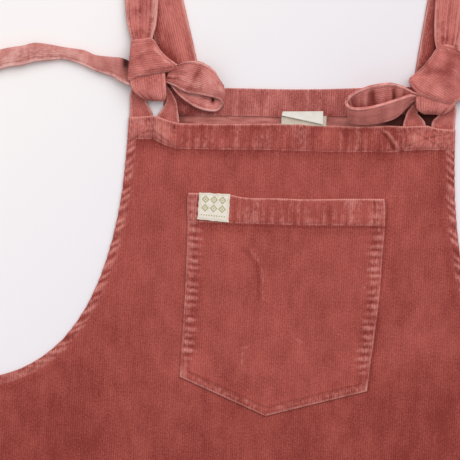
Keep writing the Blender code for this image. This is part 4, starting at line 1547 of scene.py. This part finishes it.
@dataclass
class Knot:
    """Loop, lower turn, upper turn and tail of one side; all rows are drawn for the left."""

    side: Side
    loop_width: float = 20.0
    loop_cloth: float = 1.8
    # Outer edge (x, y), inner edge (x, y), height of the middle of the cloth; both feet end behind the band.
    loop_rows: Table = (
        (-134.2, -6, -114.3, -5, 1.9), (-134.2, 0.9, -115, 2.4, 2.1), (-134.3, 9.5, -118, 8, 3),
        (-134.3, 18.9, -120.4, 13.2, 4.6), (-130, 29, -118.5, 20.5, 5.8), (-117, 34.5, -112.5, 23.5, 6.2),
        (-104.7, 26.5, -105.5, 20, 6), (-96.6, 15, -104.6, 13.2, 5.2), (-94.4, 6, -107.8, 7, 4.4),
        (-92.9, -1.4, -111.3, 1, 4), (-92.5, -9, -112, -6, 3.9))
    # Lower turn, left and right: outer edge x, inner edge x, y, outward fall of y, height.
    pass_rows: tuple[Table, Table] = (
        ((-133, -108, 46, 5, 6), (-135, -106, 34, 3, 10.8), (-133, -104.6, 22.2, 0, 11.8),
         (-126.5, -104.6, 16.5, 0, 10.4), (-117.8, -105.6, 14.6, 0, 6.8), (-117.2, -106.6, 15, 0, 4.6)),
        ((-132, -100.5, 42, 0, 6), (-133.8, -100, 30, 0, 11.2), (-133, -100.3, 22, 0, 11.8),
         (-129, -102, 16.5, 0, 10.4), (-124, -107.5, 14.2, 0, 6.8), (-123, -108.5, 14.6, 0, 4.6)))
    # Upper turn, left and right: lower edge (x, y), upper edge (x, y), edge and crown height.
    wrap_rows: tuple[Table, Table] = (
        ((-137.2, 31.4, -135.7, 62.1, 10.5, 11.2), (-134.9, 28.8, -132, 63.2, 13.4, 14.4),
         (-129, 32, -126.2, 64.1, 13.8, 16.2), (-120.7, 33.8, -118, 64.5, 13.8, 17.2),
         (-111.5, 36.3, -111.1, 55.5, 13.4, 16.2), (-102.3, 38, -104.2, 49.2, 12.2, 14),
         (-96.8, 42.5, -96.6, 44.3, 10.8, 11.4)),
        ((-138.2, 27, -137.5, 64, 9, 10.5), (-130, 21.5, -131, 69.5, 13.2, 16.2),
         (-118.3, 23.3, -118.5, 70.5, 13.8, 17.6), (-108.6, 26.2, -111, 60.2, 13.8, 17.2),
         (-101.5, 28.7, -104.5, 51.5, 13.2, 16), (-95.8, 35.1, -99, 46.2, 12, 14.2),
         (-93.8, 39.6, -94.8, 42.6, 10.5, 11)))
    wrap_under: float = 7.1
    # How the upper turn's cords run, in degrees, which is the way of its lower edge.
    cord_turns: tuple[float, float] = (9.0, -29.0)
    # Tail: upper edge (x, y), lower edge (x, y), height of the middle of the cloth.
    tail_rows: Table = (
        (-129, 44, -129, 24, 5.6), (-135, 45, -135, 24.7, 5.6), (-143, 47.8, -142.8, 27.7, 4.6),
        (-151, 48, -150, 31.8, 2.8), (-164.9, 48.8, -164, 35.8, 1.6), (-174.3, 52.2, -176.3, 40.6, 1.3),
        (-192.6, 54, -190, 44, 1.3), (-203.8, 55.8, -202.2, 42.6, 2), (-214.9, 56.6, -215.1, 40.6, 3),
        (-224.8, 53.8, -224, 37.6, 3.4), (-242, 50, -240.5, 34, 2.6), (-268, 40, -262, 22.5, 1.3),
        (-295, 22.5, -284, 8.5, 1.3))

    def loop(self) -> Ribbon:
        """Work out the loop that the strap is tied through."""
        right = self.side > 0
        outer, outer_y, inner, inner_y, z = mirrored(self.loop_rows, [0, 2], self.side).T
        closer = 1.7 * right * (np.abs(outer) < 100)
        outer_y, inner_y = (y + 2 * LAY.tilt * LAY.loop_place * right * smooth(18, 0, y)
                            for y in (outer_y, inner_y))
        sections = stacked(outer - closer, outer_y, z, inner - closer, inner_y, z)

        def toning(u: Array, v: Array, points: Array) -> Tone:
            """Painted light: paler on its outer leg, where the upper turn's shadow falls."""
            return 0.0 * u, -0.45 * smooth(0.42, 0.30, v)

        return Ribbon("loop_" + self.side.tag, Finish.LOOP, sections, 110, toning, width=self.loop_width,
                      thickness=self.loop_cloth, edge_wear=0.7)

    def lower_turn(self) -> Ribbon:
        """Work out the strap's lower turn, gathered tight at its outer foot."""
        outer, inner, y, fall, z = mirrored(self.pass_rows[self.side > 0], [0, 1], self.side).T

        def tight(u: Array, v: Array) -> Array:
            """How tightly it is gathered."""
            return smooth(0.8, 0.1, u) * smooth(0.35, 0.65, v)

        def crown(u: Array, v: Array) -> Array:
            """Fine gathers, strongest at the outer lower corner."""
            return (0.75 * tight(u, v) + 0.12) * wander(u, 0.12, 2.0)

        def toning(u: Array, v: Array, points: Array) -> Tone:
            """Paler on its round top; painted shade between its gathers and at its end under the upper turn.
            """
            gathers = 1.1 * tight(u, v) * capped(-wander(u, 0.12, 2.0))
            return 0.0 * u, gathers - 0.30 * bell(v - 0.4, 0.3) + 0.3 * smooth(0.05, 0.0, v - 0.1 * u)

        sections = stacked(outer, y - fall, z, inner, y, z)
        return Ribbon("knot_pass_" + self.side.tag, Finish.BOW, sections, 60, toning, crown, width=27.0,
                      edge_wear=0.3)

    def wrap(self, u: Array) -> Array:
        """The upper turn's lower edge (x, y), upper edge (x, y), edge and crown height along it."""
        return spline(mirrored(self.wrap_rows[self.side > 0], [0, 2], self.side), u).T

    def upper_turn(self) -> Piece:
        """Make the turn that lies over the knot, its cords running across it."""
        turn = math.radians(self.cord_turns[self.side > 0])

        def rule(u: Array, v: Array, w: Array) -> Surface:
            """Place the turn's points."""
            low_x, low_y, high_x, high_y, edge_z, crown_z = self.wrap(u)
            height = np.hypot(high_x - low_x, high_y - low_y)
            low, high = v * height, (1 - v) * height
            edge = np.minimum(low, high)
            dome = np.sin(math.pi * np.clip(v, 0.001, 0.999)) ** 0.55
            rim = 0.4 * bell(low - 1.2, 1.0) - 0.30 * bell(low - 3.2, 0.6)
            soft = 0.45 * wander(u + 0.4 * v, 0.31, 1.0) + 0.35 * wander(v - 0.5 * u, 0.27, 3.0)
            top = mix(edge_z, crown_z, dome) + rim + soft * smooth(0.0, 5.0, edge)
            share = rounding(np.minimum(edge, np.minimum(u, 1 - u) * 38), 2.4)
            x, y = mix(low_x, high_x, v), mix(low_y, high_y, v)
            # Rims are worn and troughs of the soft folds get painted shade; below, a darker spot, painted
            # shade in the stitched groove by the lower edge, uneven blotches, and paler a little above the
            # lower edge.
            wear, press = worn_and_shaded(2 * soft, 0.20, 0.35)
            wear += 0.60 * bell(low - 0.7, 0.9) + 0.45 * bell(high - 0.6, 0.9) + 0.30 * bell(high - 4.4, 0.8)
            press += 0.45 * bell(np.hypot((np.abs(x) - 127.5) / 2, y - 54.5), 3.6)
            press += 0.35 * (bell(low - 3.2, 0.6) + blotches(x, y, 7.0, 71)) - 0.40 * bell(low - 9.0, 8.0)
            cords = stacked(y * math.cos(turn) - x * math.sin(turn), x * math.cos(turn) + y * math.sin(turn))
            return Surface(stacked(x, y, between(self.wrap_under, top, share, w)), cords, wear, press)

        return cloth_slab("knot_wrap_" + self.side.tag, Finish.KNOT, spread(1.0, 0.012, 0.02, 0.06),
                          spread(1.0, 0.02, 0.03, 0.14), rule)

    def tail(self) -> Ribbon:
        """Work out the strap's free end, folded lengthwise so that it shows half its width."""
        high_x, high_y, low_x, low_y, z = mirrored(self.tail_rows, [0, 2], self.side).T
        z = z + DOUBLED / 2 + 0.1

        def crown(u: Array, v: Array) -> Array:
            """Soft cupping of the upper half, and gathers next to the knot."""
            cup = 0.8 * np.sin(2 * math.pi * u) * (0.5 + 0.5 * wander(v, 0.37, 0.6))
            return (1.1 * wander(u, 0.17, 2.2) * smooth(0.16, 0.0, v) - cup) * smooth(0.5, 0.56, u)

        def toning(u: Array, v: Array, points: Array) -> Tone:
            """Painted shade in the fold next to the knot, where it comes out from under the upper turn, a
            darker band further out, and unevenly worn.
            """
            x, y, _ = points.T
            out, clouds = self.side * x, blotches(x, y, 7.0, 51)
            fold = smooth(146.3, 139.0, out) * smooth(24, 34, y)
            pale = 0.03 + 0.16 * capped(clouds) + 0.13 * smooth(165, 185, out)
            return pale * (1 - fold), 1.60 * fold + 0.35 * bell(out - 157, 6.0) - 0.40 * clouds

        sections = stacked(high_x, high_y, z, low_x, low_y, z)
        return Ribbon("tail_" + self.side.tag, Finish.TAIL, sections, 150, toning, crown, folded=True)


@dataclass
class LeftBow:
    """The left bow lies flat: out over the bib's corner, round, and back underneath."""

    # Far edge (x, y, z) and near edge (x, y, z), out above and back below.
    table: Table = (
        (-102, 41.2, 10.4, -106.2, 29.2, 10.6), (-89.8, 46.5, 15, -98.5, 26.2, 11.2),
        (-80.5, 47.5, 18, -88.7, 21.8, 10.8), (-72.8, 45, 18, -77.2, 20.2, 10.6),
        (-65.6, 40, 16, -68.4, 18.8, 11), (-60.2, 31.5, 12.5, -60.6, 16.8, 11.2),
        (-59.2, 28, 8.5, -58.8, 11.8, 8.8), (-65, 29, 5.5, -64, 6.8, 7.8),
        (-78, 35, 6.2, -79.3, 9.2, 8), (-90, 39, 6.8, -94, 18.4, 8),
        (-96.5, 40, 7.4, -103, 29, 8))

    @staticmethod
    def past_lip(u: Array, v: Array) -> Array:
        """How far past the line a place is where the lower run rolls over, clear of the upper one."""
        return u - np.interp(v, (0.6, 0.7, 0.8, 0.9, 1.0), (0.46, 0.49, 0.60, 0.76, 0.85))

    def strip(self) -> Ribbon:
        """Work out the bow's strip."""
        def crown(u: Array, v: Array) -> Array:
            """A full, rounded top with gathers that fan out from the knot."""
            full = 2.0 * np.sin(math.pi * u) * np.sin(math.pi * v) * smooth(0.66, 0.5, v)
            fan = smooth(0.24, 0.02, v) + smooth(0.80, 1.0, v)
            gather = 0.9 * wander(u, 0.21, 1.4) * fan * smooth(0.0, 0.1, u) * smooth(1.0, 0.9, u)
            dent = bell(v - 0.24, 0.035) * bell(u - 0.45, 0.3)
            past = self.past_lip(u, v)
            lip = (1.2 * bell(past, 0.07) - smooth(0.0, -0.09, past)) * smooth(0.55, 0.66, v)
            return full + gather - dent + lip * smooth(1.0, 0.94, v)

        def toning(u: Array, v: Array, points: Array) -> Tone:
            """Painted shade between the gathers at the knot, in the dent across the middle, and in the gap
            and the hole over the lower run; two paler bands across the top and a paler lower run.
            """
            x, y, _ = points.T
            dark = 1.15 * smooth(0.30 - 0.12 * u, 0.03, v) * capped(wander(u, 0.15, 4.5))
            dark += 0.50 * smooth(0.05, 0.0, v) + 0.40 * bell(v - 0.30, 0.012) * bell(u - 0.70, 0.20)
            dark += 0.80 * bell(v - 0.235 + 0.05 * (u - 0.5), 0.022) * bell(u - 0.50, 0.40)
            dark -= 0.50 * bell(v - 0.37, 0.07) + 0.35 * bell(v - 0.16, 0.05)
            lower = smooth(0.55, 0.64, v)
            gap = 1.6 * smooth(-0.01, -0.06, self.past_lip(u, v)) - 0.32
            gap += 2.6 * bell(np.hypot(x + 66.2, 0.6 * (y - 16.5)), 1.7)
            gap += 0.35 * bell(x + 74.5, 3.0) + 0.25 * bell(x + 85.0, 2.5)
            return 0.15 * lower, dark + lower * gap

        return Ribbon("bow_left", Finish.BOW, np.array(self.table), 190, toning, crown)


@dataclass
class RightBow:
    """The right bow stands on its edge, open towards the viewer from above."""

    # Rim (x, y, z) and base (x, y, z), out along the far side and back along the near one.
    table: Table = (
        (102.2, 29.3, 12.5, 102.2, 26.2, 10), (96, 31.4, 17.5, 96.5, 21.5, 8.8),
        (87.4, 35.2, 21.5, 88, 15, 7.6), (77.1, 36.7, 23.5, 77, 11, 5.6),
        (61.2, 33.4, 23.8, 61.2, 8.5, 5.2), (48.2, 26.8, 23.5, 52.5, 10, 5.2),
        (43, 19.5, 23, 47.4, 8, 5.2), (49, 15, 22.5, 49.4, 3, 5.5),
        (62.9, 16.4, 22.5, 63.5, 2.8, 5.8), (82.4, 22.9, 22, 83.1, 8, 6.6),
        (94, 27.2, 19, 93.5, 18.6, 7.8), (101.7, 28.9, 12.5, 100, 25.8, 9))

    def strip(self) -> Ribbon:
        """Work out the bow's strip."""
        def crown(u: Array, v: Array) -> Array:
            """Dimples inside the bow, and gathers next to the knot."""
            dimples = 1.6 * wander(v, 0.062, 0.8) * np.sin(math.pi * u) * smooth(0.02, 0.12, v)
            near = smooth(0.14, 0.0, v) + smooth(0.88, 1.0, v)
            return dimples * smooth(0.62, 0.5, v) + 0.7 * wander(u, 0.27, 0.3) * near

        def toning(u: Array, v: Array, points: Array) -> Tone:
            """Painted shade in three creases inside and painted light on the panels between them; the outer
            wall, which faces away from the light, is painted paler in soft patches.
            """
            creases = sum(bell(v - place + 0.03 * (u - 0.5), 0.011) for place in (0.115, 0.235, 0.335))
            pale = bell(v - 0.175, 0.035) + bell(v - 0.285, 0.03) + 0.6 * bell(v - 0.40, 0.03)
            far = 1.1 * creases * smooth(0.05, 0.25, u) - 0.05 - 0.55 * pale
            near = 0.35 + 0.35 * wander(points[:, 0], 13.0, 0.9)
            return 0.0 * u, far * smooth(0.52, 0.44, v) - near * smooth(0.55, 0.62, v)

        return Ribbon("bow_right", Finish.BOW, np.array(self.table), 200, toning, crown, edge_wear=0.46)


STRAPS = (Strap(Side.LEFT, (-90.5, 26.2), (-133.0, 179.0), (-126.2, 50.0)),
          Strap(Side.RIGHT, (113.5, 37.0), (131.5, 179.0), (124.0, 50.0)))


# ---- Stitches ------------------------------------------------------------------------------------
@dataclass
class Stitching:
    """Rows of single stitches, joined into one mesh, lying in the cloth's own relief."""

    name: str
    finish: Finish
    pitch: float = 3.0
    stitch: float = 2.3
    thread: float = 0.42
    spots: list[tuple[Array, Array]] = field(default_factory=list)

    def run(self, path: Array) -> None:
        """Sew along a path of points in the row frame."""
        run = run_of(path)
        count = int(run[-1] / (self.pitch * MM))
        if count:
            middles = (np.arange(count) + 0.5) * run[-1] / count
            reach = self.stitch * MM / 2
            self.spots += zip(*(points_at(path, run, middles + end * reach) for end in (-1, 1)))

    def run_over(self, cover: BVHTree, x: Array, y: Array | float) -> None:
        """Sew along places of the front's pattern, on whatever lies on top there."""
        self.run_down(cover, placed(x, y, 0.0))

    def run_down(self, cover: BVHTree, places: Array) -> None:
        """Sew along places of the drawing, on whatever lies on top there."""
        down = Vector((0.0, 0.0, -1.0))
        hits = (cover.ray_cast(Vector((x, y, 0.1)), down)[0] for x, y, _ in in_row_frame(places))
        path = np.array([tuple(hit) for hit in hits if hit is not None])
        if len(path) > 1:
            self.run(path + np.array((0.0, 0.0, 0.02 * MM)))

    def build(self) -> Piece:
        """Join the stitches into one piece, each of them a stretched ball."""
        ball = bmesh.new()
        bmesh.ops.create_uvsphere(ball, u_segments=6, v_segments=4, radius=0.5)
        shape = np.array([vertex.co[:] for vertex in ball.verts])
        single = mesh_of("single_stitch", ball)
        threads = bmesh.new()
        for _ in self.spots:
            threads.from_mesh(single, face_normals=False, vertex_normals=False)
        bpy.data.meshes.remove(single)
        mesh = mesh_of(self.name, threads)
        ends = np.array(self.spots)
        line, thick = ends[:, 1] - ends[:, 0], self.thread * MM
        side = unit(np.cross(line, (0.0, 0.0, 1.0)) + line[:, [1, 2, 0]] * 1e-6)
        up, longer = np.cross(side, unit(line)) * thick, line + unit(line) * thick
        axes = np.stack((side * thick, up, longer), axis=1)
        points = ends.mean(axis=1)[:, None] + shape @ axes
        mesh.vertices.foreach_set("co", points.ravel())
        mesh.shade_smooth()
        return enter(linked(mesh), self.finish)


def cover_of(pieces: Sequence[Piece]) -> BVHTree:
    """A tree of the pieces' faces, to find what lies on top at a place."""
    joined = bmesh.new()
    for piece in pieces:
        joined.from_mesh(piece.data)
    tree = BVHTree.FromBMesh(joined)
    joined.free()
    return tree


# ---- Studio --------------------------------------------------------------------------------------
@dataclass(frozen=True)
class Studio:
    """A pale floor, broad soft light from the upper right and a camera straight above, in metres."""

    middle: tuple[float, float] = (-0.047, 0.21245)
    turn: float = math.radians(2.7)
    distance: float = 3.0
    view_width: float = 0.3795
    sensor: float = 36.0
    floor_size: float = 40.0
    light_from: Colour = (0.50, 0.85, 1.12)
    light_angle: float = math.radians(56)
    light: float = 1.675
    fill_from: Colour = (-0.60, 0.45, 1.20)
    fill: float = 0.575
    sky: float = 0.460

    def camera(self) -> None:
        """Place the camera."""
        data = bpy.data.cameras.new("camera")
        data.sensor_width = self.sensor
        data.lens = self.sensor * self.distance / self.view_width
        data.clip_end = 100.0
        camera = linked(data)
        camera.location = (*self.middle, self.distance)
        camera.rotation_euler = (0.0, 0.0, self.turn)
        bpy.context.scene.camera = camera

    def floor(self) -> None:
        """Lay the floor, its colour painted brighter towards the upper left as a pool of light."""
        sheet = bmesh.new()
        bmesh.ops.create_grid(sheet, x_segments=1, y_segments=1, size=self.floor_size / 2)
        floor = linked(mesh_of("floor", sheet))
        w = Wiring("floor")
        # Painted light: the floor grows paler towards the upper left.
        away = w.node("ShaderNodeVectorMath", {0: w.place(), 1: (-0.7, 0.7, 0.0)}, 1,
                      operation="DOT_PRODUCT")
        colour = w.blend(w.span(away, 0.22, 0.40), (0.855, 0.828, 0.860), (0.945, 0.915, 0.905))
        w.feed(w.shader, {"Base Color": colour, "Roughness": 0.9, "Specular IOR Level": 0.1})
        floor.data.materials.append(w.material)

    def lights(self) -> None:
        """Hang the soft light and brighten the room."""
        lamps = (("softbox", self.light, self.light_from, 1.0), ("fill", self.fill, self.fill_from, 1.2))
        for name, energy, place, softness in lamps:
            data = bpy.data.lights.new(name, "SUN")
            data.energy = energy
            data.angle = self.light_angle * softness
            data.color = (1.0, 0.99, 0.985)
            linked(data).rotation_euler = Vector(place).to_track_quat("Z", "Y").to_euler()
        world = bpy.data.worlds.new("room")
        world.use_nodes = True
        sky = world.node_tree.nodes["Background"]
        sky.inputs["Color"].default_value = (0.985, 0.985, 1.0, 1.0)
        sky.inputs["Strength"].default_value = self.sky
        bpy.context.scene.world = world
        bpy.context.scene.view_settings.view_transform = "Standard"

    def build(self) -> None:
        """Set up the whole studio."""
        self.camera()
        self.floor()
        self.lights()


# ---- Assembly ------------------------------------------------------------------------------------
def declare_flat(piece: Piece, flat: tuple[float, float]) -> None:
    """Work out in metres the width and length that a piece of flat cloth was cut to, and leave them unused.

    Args:
        piece: not used.
        flat: its width and length in millimetres.
    """
    width, length = (size * MM for size in flat)


def build_back() -> None:
    """Build the back with its hems and labels."""
    panel = BACK.panel()
    added = [
        BACK.top_hem(),
        BottomHem("back_bottom_hem", Finish.INSIDE, False).build(),
        BACK.label("care_label", Finish.CARE, (-9.1, 28.2, -1.0, 6.3), SEAM + 0.4, 0.0),
        BACK.label("back_label", Finish.LABEL, (-8.7, 25.4, 6.4, 10.2), 2 * SEAM + 1.5, -6.0),
    ]
    declare_flat(panel, (2 * HEM_HALF, DRESS_DROP + 6))


def build_front() -> list[Piece]:
    """Build the front and return its pieces."""
    panel = FrontPanel().build()
    hems = [TopBand().build(), ArmholeHem(Side.LEFT).build(), ArmholeHem(Side.RIGHT).build(),
            BottomHem("front_bottom_hem", Finish.FRONT, True).build()]
    declare_flat(panel, (2 * HEM_HALF, DRESS_DROP - TOP_HEM - BOTTOM_HEM))
    return [panel, *hems]


def build_pocket() -> list[Piece]:
    """Build the pocket with its patch, and return its body and its mouth."""
    body, mouth, patch = POCKET.body(), POCKET.mouth(), POCKET.patch()
    declare_flat(body, (163.0, 161.0))
    declare_flat(patch, (25.5, 23.7))
    return [body, mouth]


def laid(ribbon: Ribbon) -> Ribbon:
    """Build a strip, work out its cut size and return it."""
    declare_flat(ribbon.build(), (ribbon.width, round(ribbon.length)))
    return ribbon


def build_ties() -> tuple[list[Ribbon], list[tuple[Knot, Piece]]]:
    """Build straps, loops, knots, bows and tails, and return the strips and the upper turns."""
    strips: list[Ribbon] = []
    turns = []
    for strap in STRAPS:
        knot = Knot(strap.side)
        strips += [laid(strap.strip()), laid(knot.loop()),
                   laid(knot.lower_turn()), laid(knot.tail())]
        turns.append((knot, knot.upper_turn()))
    strips += [laid(bow.strip()) for bow in (LeftBow(), RightBow())]
    return strips, turns


def sew(front: list[Piece], pocket: list[Piece], strips: list[Ribbon],
        turns: list[tuple[Knot, Piece]]) -> None:
    """Sew the rows of stitches that show.

    Args:
        front: the front's pieces.
        pocket: the pocket's body and mouth.
        strips: the strips of the ties.
        turns: each knot with its upper turn.
    """
    cover = cover_of(front)
    rows = Stitching("stitches_front", Finish.THREAD)
    across = np.linspace(-1.0, 1.0, 400)
    level, foot = -TOP_HEM + 1.3, -DRESS_DROP + BOTTOM_HEM - 2.0
    rows.run_over(cover, across * (FRONT_ARMHOLE.half(level) - 1.5), level)
    rows.run_over(cover, across * (side_half(foot) - 2.0), foot)
    along = np.linspace(FRONT_ARMHOLE.down_to(TOP_HEM) + 1.0, FRONT_ARMHOLE.run[-1], 300)
    x, y = FRONT_ARMHOLE.at(along, ARMHOLE_HEM - 1.2)
    for side in Side:
        rows.run_over(cover, side * x, y)
    rows.build()

    cover = cover_of(pocket)
    seams = Stitching("stitches_pocket", Finish.THREAD)
    for inside in (1.4, POCKET.row_inside):
        down = np.linspace(POCKET.top[2] - 3.0, POCKET.foot[2] + 0.6 * inside, 120)
        seams.run_over(cover, POCKET.across(0.0, down) + inside, down)
        seams.run_over(cover, POCKET.across(1.0, down) - inside, down)
        u = np.linspace(0.01 + inside / 155, 0.99 - inside / 155, 160)
        low = POCKET.foot_y(u) + 1.07 * inside
        seams.run_over(cover, POCKET.across(u, low), low)
    x = np.linspace(POCKET.top[0] + 2.0, POCKET.top[1] - 2.0, 200)
    seams.run_over(cover, x, POCKET.mouth_y(x, True) + 1.2)
    seams.build()

    ties = Stitching("stitches_straps", Finish.STRAP_THREAD)
    share = np.linspace(0.02, 0.98, 260)
    for ribbon in strips:
        if ribbon.name.startswith("knot_pass"):
            continue
        for inside in (3.4 / ribbon.width, 1 - 3.4 / ribbon.width):
            for face in (-0.42, 0.42):
                ties.run(in_row_frame(ribbon.at(np.full(260, inside), share, face * ribbon.thickness)))
    for knot, turn in turns:
        low_x, low_y, high_x, high_y, _, _ = knot.wrap(share[15:-15])
        inside = 3.2 / np.hypot(high_x - low_x, high_y - low_y)
        ties.run_down(cover_of([turn]), stacked(mix(low_x, high_x, inside), mix(low_y, high_y, inside), 0.0))
    ties.build()


def main() -> None:
    """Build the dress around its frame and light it."""
    logging.basicConfig(level=logging.INFO, format="%(name)s: %(message)s")
    LOG.info("frame with %d nodes", len(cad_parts))
    Studio().build()
    build_back()
    front = build_front()
    pocket = build_pocket()
    sew(front, pocket, *build_ties())


if __name__ == "__main__":
    main()
